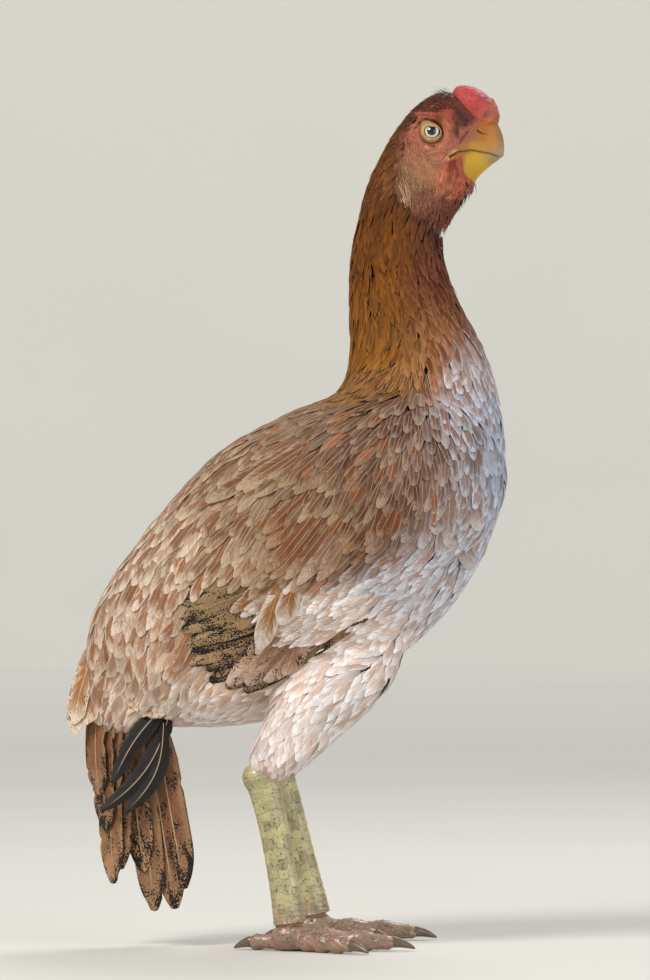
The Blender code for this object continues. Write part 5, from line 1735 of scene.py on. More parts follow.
@dataclass
class BodyPlumage:
    """The contour feathers and fluff of neck, breast, back, flanks and thighs."""

    lie: Lie
    bake: Unwrap
    tries: int = 130000
    rows: int = 11
    columns: tuple[float, ...] = (-1.0, -0.66, -0.3, 0.0, 0.3, 0.66, 1.0)
    most: int = 900  # feathers in one piece
    length_spread: Pair = (0.86, 1.18)
    half_spread: Pair = (0.88, 1.15)
    turn: Pair = (0.13, 0.20)  # how unevenly feathers lie, on the flat coat and where it is fluffy
    root_rise: float = 0.4
    thick: Pair = (0.26, 0.10)
    neck: Pair = (335, 360)  # heights over which round feathers give way to pointed ones
    slits: float = 0.06  # share of the rows with a slit
    palest: float = 0.55
    rufous: str = "#8C4E24"
    rufous_share: float = 0.14
    # Where the flight feathers show, no contour feathers grow.
    window: tuple[Pair, ...] = (
        (-54, 214), (-13, 232), (-9.6, 202), (9, 200), (14, 171), (-23, 157), (-48, 173)
    )

    def make(self, finishes: dict[str, bpy.types.Material]) -> list[bpy.types.Object]:
        """Builds the feathers.

        Args:
            finishes: materials by the record's slot.

        Returns:
            One piece for each region of the coat, or more where it holds many feathers.
        """
        draw = np.random.default_rng(Noise.COAT.value)
        roots = self.lie.scatter(draw, self.tries)
        roots = roots[self.feathered(roots)]
        fluff = COAT_MAP.values(roots, "fluff")[:, None]
        spine, normal, width, fray = self.shapes(roots, fluff, draw)
        facts = self.dress(roots, fluff, draw)
        thick = np.linspace(*self.thick, self.rows)
        made = []
        for zone, (slot, chosen) in self.zones(roots).items():
            places = np.flatnonzero(chosen)
            for part, at in enumerate(np.array_split(places, max(1, math.ceil(len(places) / self.most)))):
                name = f"{zone}_feathers" if len(places) <= self.most else f"{zone}_feathers_{part + 1}"
                sheets = Sheets(name)
                own = {key: values[at] for key, values in facts.items()}
                columns = np.array(self.columns)
                sheets.lay(spine[at], normal[at], width[at], columns, thick, 0.24, 0.10, fray[at], **own)
                made.append(fit(sheets.build(bake=self.bake), finishes[slot], slot))
        return made

    def shapes(
        self, roots: Array, fluff: Array, draw: np.random.Generator
    ) -> tuple[Array, Array, Array, Array]:
        """The feathers' shapes.

        Args:
            roots: where they spring from.
            fluff: how downy each one is.
            draw: the random numbers.

        Returns:
            Each feather's places, outward ways, half widths and frayed shares, row by row.
        """
        count = len(roots)
        length = COAT_MAP.values(roots, "length") * draw.uniform(*self.length_spread, count)
        half = COAT_MAP.values(roots, "half") * draw.uniform(*self.half_spread, count)
        lean = draw.normal(0, 1, count) * np.interp(fluff[:, 0], (0, 1), self.turn)
        lean = lean + 0.12 * wobble(roots, 14.0, 2.0)
        spine, normal = self.lie.march(roots, length, self.rows, lean)
        along = np.linspace(0, 1, self.rows)[None]
        rise = COAT_MAP.values(roots, "rise")[:, None] * draw.uniform(0.75, 1.25, (count, 1))
        # The tip bends back down to the coat, so its edge throws only a narrow shadow.
        height = self.root_rise + rise * np.sin(along * 2.0) / math.sin(2.0) * (1 + 0.25 * fluff * along)
        height = height + draw.normal(0, 0.2, (count, 1)) * along
        spine = spine + normal * height[..., None]
        pointed, locks = step(*self.neck, roots[:, 2])[:, None], self.locks(fluff)
        rounded = wide_profile(along, 0.42, 2.2, 0.50)
        spear = np.minimum(1.0, 0.5 + 2.0 * along) * np.clip(1 - 0.90 * along**2.6, 0, 1) ** 0.75
        lock = np.minimum(1.0, 0.5 + 1.6 * along) * np.clip(1 - 0.93 * along**2.8, 0, 1) ** 0.7
        width = half[:, None] * ((rounded * (1 - locks) + lock * locks) * (1 - pointed) + spear * pointed)
        fray = draw.random((count, self.rows)) ** 2 * (0.10 + 0.34 * fluff) * step(0.2, 0.7, along)
        slit = draw.random((count, self.rows)) < self.slits
        fray = np.clip(fray + slit * 0.3, 0, 0.75)
        fray[:, -1] = 0.1
        return spine, normal, width, fray

    def locks(self, fluff: Array) -> Array:
        """How far each feather is a loose lock of down."""
        return step(0.3, 0.9, fluff)

    def dress(self, roots: Array, fluff: Array, draw: np.random.Generator) -> dict[str, Array]:
        """The feathers' colours and marks.

        Args:
            roots: where they spring from.
            fluff: how downy each one is.
            draw: the random numbers.

        Returns:
            The facts that the sheets keep, one row a feather.
        """
        count = len(roots)
        centre, rim = COAT_MAP.colours(roots, "centre"), COAT_MAP.colours(roots, "rim")
        # No two feathers are alike: some are nearly all pale, a few are rufous.
        paler = self.palest * draw.random((count, 1)) ** 2
        centre = centre * (1 - paler) + rim * paler
        rusty = (draw.random((count, 1)) < self.rufous_share) * (roots[:, 2:] < 340)
        rusty = rusty * (1 - self.locks(fluff)) * 0.6
        centre = centre * (1 - rusty) + np.array(linear(self.rufous)) * rusty
        tone = 1 + 0.14 * wobble(roots, 15.0)[:, None] + draw.normal(0, 0.07, (count, 1))
        centre[:, :3] *= tone
        rim[:, :3] *= 1 + (tone - 1) * 0.6
        tick = draw.random(count) < COAT_MAP.values(roots, "tick") * 1.3
        border = COAT_MAP.values(roots, "border") + draw.normal(0, 0.08, count)
        marks = np.stack((COAT_MAP.values(roots, "stipple"), tick * 0.9, border), -1)
        return {"seed": draw.random(count), "centre": centre, "rim": rim, "marks": marks}

    def feathered(self, roots: Array) -> Array:
        """Which places carry contour feathers: not the bare face, the legs or where flight feathers show."""
        x, z = roots[:, 0], roots[:, 2]
        line = np.interp(z, (404, 416, 440, 455, 470), (103, 86, 62, 55, 50))
        bare = (z > 404) & (x > line)
        under_tail = (x < -100) & (z < 128)
        flight = inside(x, z, self.window) & (np.abs(roots[:, 1]) > 30)
        return ~bare & (z < 470) & (z > 98) & ~under_tail & ~flight

    def zones(self, roots: Array) -> dict[str, tuple[str, Array]]:
        """The regions of the coat, each with its slot and the places that belong to it.

        Args:
            roots: where the feathers spring from.

        Returns:
            Slot and choice of places, by the region's name.
        """
        x, y, z = roots.T
        neck = z > 345
        stern = ~neck & (x < -55) & (z < 175)
        leg = ~neck & ~stern & (z < 160) & (np.abs(y) > 16)
        belly = ~neck & ~stern & ~leg & (z < 185)
        breast = ~neck & (z >= 185) & (x > 88)
        rest = ~(neck | stern | leg | belly | breast)
        arm = rest & (np.abs(y) > 30) & (arm_lift(x, z) > 1.5)
        return {
            "hackle": ("hackle_gold", neck),
            "breast": ("plumage_buff", breast),
            "shoulder_right": ("plumage_buff", arm & (y < 0)),
            "shoulder_left": ("plumage_buff", arm & (y > 0)),
            "back": ("plumage_buff", rest & ~arm),
            "belly": ("plumage_fluff", belly),
            "stern": ("plumage_fluff", stern),
            "thigh_right": ("plumage_fluff", leg & (y < 0)),
            "thigh_left": ("plumage_fluff", leg & (y > 0)),
        }


@dataclass(frozen=True)
class Dress:
    """Colours and marks of a tier of feathers."""

    centre: str
    rim: str
    stipple: float = 0.0
    tick: float = 0.0
    border: float = 0.5
    spread: float = 0.07

    def facts(self, count: int, draw: np.random.Generator) -> dict[str, Array]:
        """The dress of each feather, a little uneven."""
        tone = 1 + draw.normal(0, self.spread, (count, 1))
        centre = np.repeat(np.array([linear(self.centre)]), count, axis=0)
        rim = np.repeat(np.array([linear(self.rim)]), count, axis=0)
        centre[:, :3] *= tone
        rim[:, :3] *= 1 + (tone - 1) * 0.5
        marks = np.repeat(np.array([(self.stipple, self.tick, self.border)]), count, axis=0)
        marks[:, 0] *= draw.uniform(0.6, 1.2, count)
        marks[:, 2] += draw.normal(0, 0.05, count)
        return {"seed": draw.random(count), "centre": centre, "rim": rim, "marks": marks}


@dataclass(frozen=True)
class Tier:
    """One tier of the folded wing, as curves of root and tip places in the side view."""

    count: int
    roots: tuple[Pair, Pair, Pair]
    tips: tuple[Pair, Pair, Pair]
    half: float
    lift: Pair  # over the folded wing at root and tip
    dress: Dress
    rows: int = 20
    arm: float = 1.0  # share of the wing's own height that it lies on
    tip_share: float = 0.6
    bow: float = 1.5
    shingle: float = 0.3
    thick: Pair = (0.4, 0.15)
    spread: float = 1.2
    blend: float = 0.0  # how far its colours follow the coat around


TIERS = {
    "primary": Tier(
        9, ((90, 232), (84, 226), (76, 220)), ((-57, 190), (-68, 160), (-22, 149)), 8.0, (-1.5, 1.8),
        Dress("#7E6044", "#9A7E5C", stipple=0.56, border=0.42), rows=34, arm=0.6, shingle=0.7,
    ),
    "secondary": Tier(
        7, ((40, 268), (62, 250), (84, 238)), ((-57, 216), (-64, 200), (-56, 176)), 8.6, (-1.0, 3.0),
        Dress("#86684A", "#A0845E", stipple=0.36, border=0.40), rows=34, arm=0.72, shingle=0.7, spread=0.6,
    ),
    "tertial": Tier(
        4, ((34, 214), (24, 206), (16, 198)), ((-32, 153), (-18, 152), (0, 160)), 8.0, (-0.5, 3.6),
        Dress("#7A4E30", "#B08E70", stipple=0.24, border=0.40), rows=30, arm=0.8, shingle=0.5, blend=0.25,
    ),
    "greater": Tier(
        17, ((10, 240), (44, 285), (101, 262)), ((-14, 178), (26, 262), (103, 224)), 4.9, (0.4, 3.4),
        Dress("#643A1E", "#A68C70", border=0.46, spread=0.14), blend=0.5, spread=3.2,
    ),
    "median": Tier(
        18, ((30, 290), (66, 298), (106, 280)), ((2, 246), (58, 250), (108, 240)), 4.4, (0.4, 3.2),
        Dress("#663C20", "#AA9278", border=0.46, spread=0.14), blend=0.5, spread=3.2,
    ),
    "fan": Tier(
        9, ((22, 272), (38, 268), (66, 264)), ((-12, 238), (-16, 190), (50, 236)), 3.9, (0.6, 4.4),
        Dress("#683A1C", "#A67C56", border=0.34, spread=0.14), blend=0.3, tip_share=0.72, spread=3.0,
    ),
    "scapular": Tier(
        12, ((66, 308), (42, 306), (20, 296)), ((24, 262), (-6, 262), (-36, 262)), 4.8, (0.4, 3.2),
        Dress("#6A4022", "#A48A6C", border=0.42, spread=0.14), blend=0.5, spread=3.4,
    ),
    "white_tip": Tier(
        2, ((2, 224), (6, 224), (10, 226)), ((-14, 173), (-8, 180), (-2, 188)), 6.0, (0.8, 4.8),
        Dress("#96602E", "#DDD0C2", border=0.50), tip_share=0.72,
    ),
}


VANE_COLUMNS = (-1.0, -0.86, -0.62, -0.34, -0.09, 0.0, 0.09, 0.34, 0.62, 0.86, 1.0)


@dataclass
class Wing:
    """A folded wing: tiers of long feathers laid like shingles over the flank."""

    word: str
    bake: Unwrap
    columns: tuple[float, ...] = VANE_COLUMNS
    cup: float = 0.10
    ridge: float = 0.16

    def make(self, finish: bpy.types.Material) -> list[bpy.types.Object]:
        """Builds one piece for each tier.

        Args:
            finish: the material of them all.

        Returns:
            The pieces.
        """
        draw = np.random.default_rng(Noise.WING.value)
        made = []
        for name, tier in TIERS.items():
            sheets = Sheets(f"{name}_feathers_{self.word}")
            self.lay(sheets, tier, draw)
            made.append(fit(sheets.build(SIDES[self.word], self.bake), finish, "plumage_buff"))
        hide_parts(f"wing_{self.word}")
        return made

    def lay(self, sheets: Sheets, tier: Tier, draw: np.random.Generator) -> None:
        """Adds the feathers of one tier.

        Args:
            sheets: where they go.
            tier: their places and dress.
            draw: the random numbers.
        """
        share = np.linspace(0, 1, tier.count)
        root, tip = bezier(tier.roots, share), bezier(tier.tips, share)
        direction = unit(tip - root)
        tip = tip + direction * draw.normal(0, tier.spread * 1.5, (tier.count, 1))
        tip = tip + draw.normal(0, tier.spread * 0.4, tip.shape)
        across_way = np.stack((-direction[:, 1], direction[:, 0]), -1)
        bow = tier.bow * np.sin(math.pi * share)
        after = np.array([*range(1, tier.count), tier.count - 2])
        pitches = [np.abs(((ends[after] - ends) * across_way).sum(-1))[:, None] for ends in (root, tip)]
        along = np.linspace(0, 1, tier.rows)[None]
        columns = np.array(self.columns)
        half = tier.half * draw.uniform(0.94, 1.06, (tier.count, 1))
        width = (half * wide_profile(along, 0.5, 1.8, tier.tip_share))[..., None] * columns
        width = cut_vanes(width, columns, draw, 0.10, (0.05, 0.20))
        slant = 0.42 * np.abs(width) / np.linalg.norm(tip - root, axis=1)[:, None, None]
        slant = slant * (1 - step(0.72, 1.0, along))[..., None]
        slant = slant - 0.35 * np.abs(width) / 100 * step(0.8, 1.0, along)[..., None]
        at = along[..., None] + slant
        centre = root[:, None, None] + (tip - root)[:, None, None] * at[..., None]
        centre = centre + across_way[:, None, None] * (bow[:, None, None] * np.sin(math.pi * at))[..., None]
        flat = centre + across_way[:, None, None] * width[..., None]
        pitch = np.maximum(4.0, between(pitches, along))
        lift = between(tier.lift, along**0.8)[..., None] + arm_lift(flat[..., 0], flat[..., 1]) * tier.arm
        lift = lift + (tier.shingle / pitch)[..., None] * width
        lift = lift - self.cup * columns**2 * half[..., None] + self.ridge * np.exp(-((columns / 0.08) ** 2))
        lift = lift + draw.normal(0, 0.22, (tier.count, 1, 1)) * along[..., None]
        top = over_flank(flat[..., 0], flat[..., 1], lift)
        thick = np.linspace(*tier.thick, tier.rows)
        middle = len(columns) // 2
        below = lift[..., middle] - thick - self.ridge
        under = over_flank(flat[:, :, middle, 0], flat[:, :, middle, 1], below)[:, :, None]
        # On her left, root to tip goes the other way round, so the columns are laid from the top down.
        sheets.tops.append(top[:, :, ::-1])
        sheets.unders.append(under)
        facts = tier.dress.facts(tier.count, draw)
        for key in ("centre", "rim"):
            facts[key] += (COAT_MAP.colours(top[:, -1, middle], key) - facts[key]) * tier.blend
        sheets.note(top[:, :, ::-1], columns, width[:, :, ::-1], **facts)


@dataclass
class Tail:
    """The drooping tail: tail feathers like a tent, coverts over their roots, black sickles outside."""

    bake: Unwrap
    pairs: int = 8
    roots: tuple[Pair, Pair, Pair] = ((-104, 158), (-92, 152), (-78, 146))
    tips: tuple[Pair, ...] = (
        (-108, 88), (-102, 66), (-100, 36), (-93, 46), (-82, 42), (-74, 20), (-64, 22), (-57, 34)
    )
    out_root: Pair = (4.2, 9.5)
    out_tip: Pair = (8.2, 15.0)
    half: float = 9.0
    bow: float = -4.0
    tilt: Pair = (50, 8)  # degrees by which the vanes slope like a roof, from the top pair to the outermost
    covert_pairs: int = 11
    covert_roots: tuple[Pair, Pair, Pair] = ((-110, 178), (-100, 168), (-74, 152))
    covert_tips: tuple[Pair, Pair, Pair] = ((-124, 124), (-101, 141), (-70, 134))
    covert_out: tuple[Pair, Pair] = ((5.5, 14.5), (7.0, 20.5))
    covert_half: float = 7.6
    sickle_roots: tuple[Pair, ...] = ((-64, 144), (-66, 138), (-70, 130))
    sickle_tips: tuple[Pair, ...] = ((-99, 96), (-106, 79), (-92, 78))
    sickle_out: Pair = (20.5, 1.3)
    sickle_half: float = 6.0
    vane: Dress = Dress("#7C5438", "#A27E5C", stipple=0.60, border=0.42)
    covert: Dress = Dress("#9A6A44", "#DCC6AE", stipple=0.10)
    black: Dress = Dress("#14110F", "#2A241E", border=0.3)
    columns: tuple[float, ...] = VANE_COLUMNS

    def make(self, finish: bpy.types.Material) -> list[bpy.types.Object]:
        """Builds tail feathers, coverts and sickles of both sides.

        Args:
            finish: the material of them all.

        Returns:
            One piece for each kind and side.
        """
        draw = np.random.default_rng(Noise.TAIL.value)
        made = []
        share, cover = np.linspace(0, 1, self.pairs), np.linspace(0, 1, self.covert_pairs)
        cover_tips = bezier(self.covert_tips, cover) + draw.normal(0, 1.5, (self.covert_pairs, 2))
        sickle_out = self.sickle_out[0] + self.sickle_out[1] * np.arange(3)
        vanes = (bezier(self.roots, share), np.array(self.tips, float))
        coverts = (bezier(self.covert_roots, cover), cover_tips)
        sickles = (np.array(self.sickle_roots, float), np.array(self.sickle_tips, float))
        lots = {
            "tail": (
                (*vanes, between(self.out_root, share), between(self.out_tip, share)),
                (self.half, self.bow * (1 - share), between(self.tilt, share), self.vane),
            ),
            "tail_covert": (
                (*coverts, *(between(out, cover) for out in self.covert_out)),
                (self.covert_half, np.full(len(cover), -2.0), np.linspace(40, 12, len(cover)), self.covert),
            ),
            "sickle": (
                (*sickles, sickle_out - 8.0, sickle_out),
                (self.sickle_half, np.array((-4.0, 8.0, 7.0)), np.full(3, 14.0), self.black),
            ),
        }
        for name, (places, (half, bow, tilt, dress)) in lots.items():
            for word, side in SIDES.items():
                draw = np.random.default_rng(Noise.TAIL.value)
                sheets = Sheets(f"{name}_feathers_{word}")
                self.lay(sheets, places, half, bow, tilt, dress, draw)
                made.append(fit(sheets.build(side, self.bake), finish, "tail_buff"))
        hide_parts("tail")
        return made

    def lay(
        self,
        sheets: Sheets,
        places: tuple[Array, Array, Array, Array],
        half: float,
        bow: Array,
        tilt: Array,
        dress: Dress,
        draw: np.random.Generator,
    ) -> None:
        """Adds feathers that stand nearly on edge beside the middle plane, on her left.

        Args:
            sheets: where they go.
            places: roots and tips in the side view, and how far out each lies.
            half: half the width.
            bow: how far each one curves.
            tilt: how far each one's vane slopes outwards, in degrees.
            dress: their colours.
            draw: the random numbers.
        """
        root, tip, out_root, out_tip = places
        count, rows = len(root), 30
        tip = tip + draw.normal(0, 0.8, tip.shape) * (count > 4)
        direction = unit(tip - root)
        across_way = np.stack((-direction[:, 1], direction[:, 0]), -1)
        along = np.linspace(0, 1, rows)[None]
        slope = np.radians(tilt + draw.normal(0, 2.0, count))[:, None, None]
        columns = np.array(self.columns)
        width = (half * wide_profile(along, 0.5, 1.6, 0.72 if count > 4 else 0.3))[..., None] * columns
        width = np.broadcast_to(width, (count, rows, len(columns)))
        width = cut_vanes(width, columns, draw, 0.12, (0.06, 0.26))
        length = np.linalg.norm(tip - root, axis=1)[:, None, None]
        slant = 0.45 * np.abs(width) / length * (1 - step(0.74, 1.0, along))[..., None]
        slant = slant - 0.30 * np.abs(width) / length * step(0.8, 1.0, along)[..., None]
        at = along[..., None] + slant
        centre = root[:, None, None] + (tip - root)[:, None, None] * at[..., None]
        centre = centre + across_way[:, None, None] * (bow[:, None, None] * np.sin(math.pi * at))[..., None]
        flat = centre + across_way[:, None, None] * (width * np.cos(slope))[..., None]
        out = out_root[:, None, None] + (out_tip - out_root)[:, None, None] * at + np.sin(slope) * width
        out = out - 0.10 * columns**2 * half + 0.3 * np.exp(-((columns / 0.06) ** 2))
        top = np.stack((flat[..., 0], out, flat[..., 1]), -1)
        thick = np.linspace(0.55, 0.22, rows)
        middle = len(columns) // 2
        under = top[:, :, [middle]] - LEFT * (thick + 0.3)[None, :, None, None]
        sheets.tops.append(top[:, :, ::-1])
        sheets.unders.append(under)
        sheets.note(top[:, :, ::-1], columns, width[:, :, ::-1], **dress.facts(count, draw))


# The horn's tones in the side view: skin-like at its base, yellow along the mouth, greyish at the tip.
BILL_TONES = (
    ((104.5, 466), (3.8, 5), "#94503C"),
    ((109, 474), (4.2, 5), "#94523C"),
    ((114, 478), (6, 4), "#A45414"),
    ((115.5, 471), (4, 4), "#AA6C20"),
    ((109, 463), (7, 2.6), "#B8892C"),
    ((121, 467), (3.5, 7), "#B8782A"),
    ((125, 475), (3, 8), "#9C7648"),
    ((125, 461), (4, 4), "#B09A80"),
    ((112, 453), (7, 5), "#D0A22C"),
    ((121, 456), (5, 2.5), "#A28C6A"),
    ((107, 447), (4, 5), "#C2952C"),
    ((103.5, 456), (1.6, 4), "#AE5A38"),
)


@dataclass
class Face:
    """What her bare head carries: eyes, eyelids, comb and bill."""

    eye: WetEye = WetEye()
    lids: TintedSkin = TintedSkin(
        "eyelid_rim", roughness=0.42, grain=0.5, furrow=0.8, depth=0.00015, blood=0.1, mottle=0.12
    )
    flesh: TintedSkin = TintedSkin(
        "comb_flesh", roughness=0.36, grain=0.55, furrow=0.9, depth=0.0002, blood=0.15, mottle=0.16
    )
    horn_upper: Horn = Horn(
        "bill_horn", "#C8963E", "#8E5E34", "#D9BC88",
        grain=1.3, stretch=(0.3, 1, 1.4), roughness=0.5, coat=0.04, specular=0.22,
        tinted=True, stain=0.25, veins=0.1,
    )
    horn_lower: Horn = replace(
        horn_upper, name="lower_bill_horn", base="#C6A63C", dark="#9A7A34", pale="#DCC676"
    )
    # The lids' tones from the outer foot over the rim to the hidden inner side: tan on the rim, darker at the
    # foot and near black from the rim's edge inwards, painted shade where the lids meet the face and the
    # eyeball.
    lid_tones_and_shade: tuple[str, ...] = (
        "#5E3020", "#6E3C28", "#A67C4A", "#B9925A", "#C0A068", "#6E4E30", *["#1E140E"] * 3, "#5E3020"
    )

    def make(self) -> list[bpy.types.Object]:
        """Builds the parts of the face.

        Returns:
            Eyeballs, eyelids, comb and both halves of the bill.
        """
        made = []
        wet, rim = self.eye.make(), self.lids.make()
        for word, side in SIDES.items():
            made.append(fit(self.eyeball(word, side), wet, "eye_pearl", f"eye_{word}"))
            made.append(fit(self.eyelids(word, side), rim, "face_red"))
        made.append(fit(self.comb(), self.flesh.make(), "comb_red", "comb"))
        for word, finish in (("upper", self.horn_upper), ("lower", self.horn_lower)):
            made.append(fit(self.bill(word), finish.make(), "bill_yellow", f"beak_{word}"))
        return made

    def eye_frame(self, side: int) -> tuple[Array, Array, Array, Array]:
        """The middle of the eye's place on the skin, the way out, the way ahead and the way up."""
        at, out = FORM.on_head(*EYE_AT, side)
        ahead = unit(AHEAD - out * out[0])
        up = np.cross(out, ahead)
        return at, out, ahead, up * np.sign(up[2])

    def eyeball(self, word: str, side: int) -> bpy.types.Object:
        """One eyeball with a slightly bulging cornea.

        Args:
            word: the side's name.
            side: -1 on her right and 1 on her left.

        Returns:
            The object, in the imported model's frame.
        """
        at, out, ahead, up = self.eye_frame(side)
        centre = at - out * EYE_SUNK
        tilt = np.linspace(0.03, math.pi - 0.05, 48)[:, None]
        turn = np.arange(64)[None] * 2 * math.pi / 64
        radius = EYE_R * (1 + 0.035 * np.exp(-((tilt / 0.5) ** 2)))
        aside = ahead * np.cos(turn)[..., None] + up * np.sin(turn)[..., None]
        way = out * np.cos(tilt)[..., None] + aside * np.sin(tilt)[..., None]
        rings = centre + way * radius[..., None]
        poles = np.stack((centre + out * radius[0, 0], centre - out * EYE_R))
        eye = loft(f"eyeball_{word}", rings, poles)
        offset = vertices(eye.data) / MM - centre
        away = np.linalg.norm(offset - np.outer(offset @ out, out), axis=1) / EYE_R
        away = np.where(offset @ out < 0, 1.0, away)
        angle = np.arctan2(offset @ up, offset @ ahead)
        put(eye.data, "gaze", "FLOAT_VECTOR", np.stack((away, angle, np.zeros_like(away)), -1))
        return settle(eye)

    def eyelids(self, word: str, side: int) -> bpy.types.Object:
        """The bare rim round one eye: a soft ring with its inner edge on the eyeball.

        Args:
            word: the side's name.
            side: -1 on her right and 1 on her left.

        Returns:
            The object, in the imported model's frame.
        """
        at, out, ahead, up = self.eye_frame(side)
        turn = np.arange(96) * 2 * math.pi / 96

        def reach(corners: Sequence[float]) -> Array:
            """Half widths all round, from eight of them."""
            wide = np.interp(np.degrees(turn), np.arange(9) * 45.0, (*corners, corners[0]))
            for _ in range(5):
                wide = (np.roll(wide, 1) + np.roll(wide, -1) + wide * 2) / 4
            return wide

        # Half widths of the opening and of the whole lids, every 45 degrees from the front upwards.
        inner = reach((5.0, 2.9, 1.9, 3.4, 4.4, 4.1, 3.6, 4.4))
        outer = reach((5.9, 5.2, 6.0, 9.2, 7.2, 6.9, 7.0, 6.6))
        way = ahead * np.cos(turn)[:, None] + up * np.sin(turn)[:, None]
        edge = at + way * outer[:, None]
        t, c = FORM.locate(edge[:, 0], edge[:, 2], HEAD_FROM, HEAD_TO)
        skin = FORM.point(t, np.arccos(np.clip(c, -1, 1)))
        skin[:, 1] *= side
        level = (skin - at) @ out + relief(edge[:, 0], edge[:, 2])

        def over(reach_at: Array, gap: float) -> Array:
            """How high the eyeball stands at a reach from its middle, with a gap added."""
            return np.sqrt(np.maximum((EYE_R * 1.02) ** 2 - reach_at**2, 0)) - EYE_SUNK + gap

        pleat = 0.16 * np.sin(turn * 19) + 0.10 * np.sin(turn * 33 + 1) + 0.12 * np.sin(turn * 7 + 2)
        far, half, near = outer * 0.75 + inner * 0.25, outer * 0.45 + inner * 0.55, outer * 0.2 + inner * 0.8
        steps = (
            (outer + 0.3, level - 1.6),
            (outer, level + 0.15),
            (far, np.maximum(level * 0.55 + 0.85, over(far, 0.45)) + pleat),
            (half, np.maximum(1.42, over(half, 0.5)) + pleat * 0.7),
            (near, np.maximum(1.62, over(near, 0.5))),
            (inner + 0.05, np.maximum(1.5, over(inner, 0.36))),
            (inner - 0.08, over(inner, 0.10)),
            (inner + 0.3, over(inner, -0.45)),
            (inner + 0.9, over(inner, -1.6)),
            (outer - 0.4, level - 2.2),
        )
        loops = np.stack([at + way * r[:, None] + out * h[:, None] for r, h in steps], 1)
        count, around = loops.shape[:2]
        grid = np.arange(count * around).reshape(count, around)
        beside, after = np.roll(grid, -1, axis=0), np.roll(grid, -1, axis=1)
        quads = np.stack((grid, after, np.roll(beside, -1, axis=1), beside), -1).reshape(-1, 4)
        if side > 0:
            quads = quads[:, ::-1]
        lids = face_outwards(make_object(f"eyelids_{word}", loops.reshape(-1, 3), [quads], placed=False))
        # The lid tints carry painted shade at their foot and along the eyeball.
        tone = np.array([linear(code) for code in self.lid_tones_and_shade])
        put(lids.data, "tint", "FLOAT_COLOR", np.tile(tone, (count, 1)))
        lids.modifiers.new("round", "SUBSURF").levels = 1
        lids.modifiers["round"].render_levels = 1
        bake_modifiers(lids)
        return settle(lids)

    def comb(self) -> bpy.types.Object:
        """The low pea comb: three rows of soft bulbs down the forehead.

        Returns:
            The object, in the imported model's frame.
        """
        x, z = COMB_AT
        c, s = math.cos(COMB_SLOPE), math.sin(COMB_SLOPE)

        def on_comb(swing: float, lean: float, share: float) -> Array:
            """A place on the comb's own shape, swung along it and leant aside."""
            u = COMB_SIZE[0] * share * math.sin(swing) * math.cos(lean)
            w = COMB_SIZE[2] * share * math.cos(swing) * math.cos(lean)
            return np.array((x + u * c - w * s, COMB_SIZE[1] * share * math.sin(lean), z + u * s + w * c))

        mound = ball("pea_comb", (x + 0.5, 0, z - 0.3), (16.4, 10.4, 9.9), COMB_SLOPE, 40)
        bulbs = []
        for row, count in enumerate((4, 5, 4)):
            aside = row - 1
            for i in range(count):
                swing = math.radians(22 + 17 * i + 8 * abs(aside))
                size = 2.5 - 0.12 * i
                place = on_comb(swing, math.radians(34) * aside, 0.90)
                bulbs.append(ball("bulb", place, (size * 1.1, size, size), COMB_SLOPE - swing))
        combine(mound, "UNION", bulbs)
        remesh(mound, 0.5, 9)
        points = vertices(mound.data) / MM
        normals = vertices(mound.data, "normal")
        points = points + normals * (0.10 * wobble(points, 1.4) + 0.20 * wobble(points, 3.6, 2.0))[:, None]
        move_to(mound, points * MM)
        ahead = (points[:, 0] - x) * c + (points[:, 2] - z) * s
        red, orange, grey = (np.array(linear(code)) for code in ("#BE4440", "#C46A3C", "#8E5062"))
        low = step(2, 12, ahead)[:, None]
        # The greyish mauve patches on the front of the comb's top are a painted sheen.
        front = step(-0.4, 0.7, wobble(points, 3.0, 4.0)) * step(1, 7, points[:, 0] - x)
        front = (front * step(476, 484, points[:, 2]) * 0.8)[:, None]
        tint = red * (1 - low) + orange * low
        tint = tint * (1 - front) + grey * front
        put(mound.data, "tint", "FLOAT_COLOR", tint)
        return settle(mound)

    def bill(self, word: str) -> bpy.types.Object:
        """The upper or the lower bill, cut along the mouth, with slit nostrils in the upper one.

        Args:
            word: upper or lower.

        Returns:
            The object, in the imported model's frame.
        """
        sign = 1 if word == "upper" else -1
        t = np.linspace(BILL_FROM - 0.3, FORM_END, 110)[:, None]
        angle = (np.arange(120) + 0.5)[None] * 2 * math.pi / 120
        rings = FORM.point(t, angle)
        if word == "upper":
            ridge = np.exp(-((np.minimum(angle, 2 * math.pi - angle) / 0.35) ** 2)) * 0.35
            rings = rings + FORM.normal(t, angle) * ridge[..., None]
        ends = FORM.point(np.array([[BILL_FROM - 0.3], [FORM_END]]), np.array([[0.0, math.pi]])).mean(1)
        ends[1] += np.array((2.0, 0.0, -0.4))
        bill = loft(f"bill_{word}", rings, ends)
        back = [(x - 1.2, z) for x, z in BILL_BASE]
        back += [(140, BILL_BASE[-1][1]), (140, BILL_BASE[0][1])]
        combine(bill, "INTERSECT", [slab("bill_space", back)])
        edge = [(x, z + 0.16 * sign) for x, z in MOUTH_LINE]
        edge.insert(0, (MOUTH_LINE[0][0] - 3, MOUTH_LINE[0][1] - 2))
        far = MOUTH_LINE[0][1] - 40 * sign
        combine(bill, "DIFFERENCE", [slab("other_half", [*edge, (edge[-1][0], far), (edge[0][0], far)])])
        if word == "upper":
            cuts = []
            for side in SIDES.values():
                centre, _ = FORM.on_head(114, 471, side, 0.3)
                cuts.append(ball("nostril", centre, (3.0, 1.7, 0.8), math.radians(-30), 32))
            combine(bill, "DIFFERENCE", cuts)
            flaps = []
            for side in SIDES.values():
                above, _ = FORM.on_head(114.6, 472.5, side, -0.35)
                flaps.append(ball("flap", above, (3.6, 1.1, 1.25), math.radians(-30), 32))
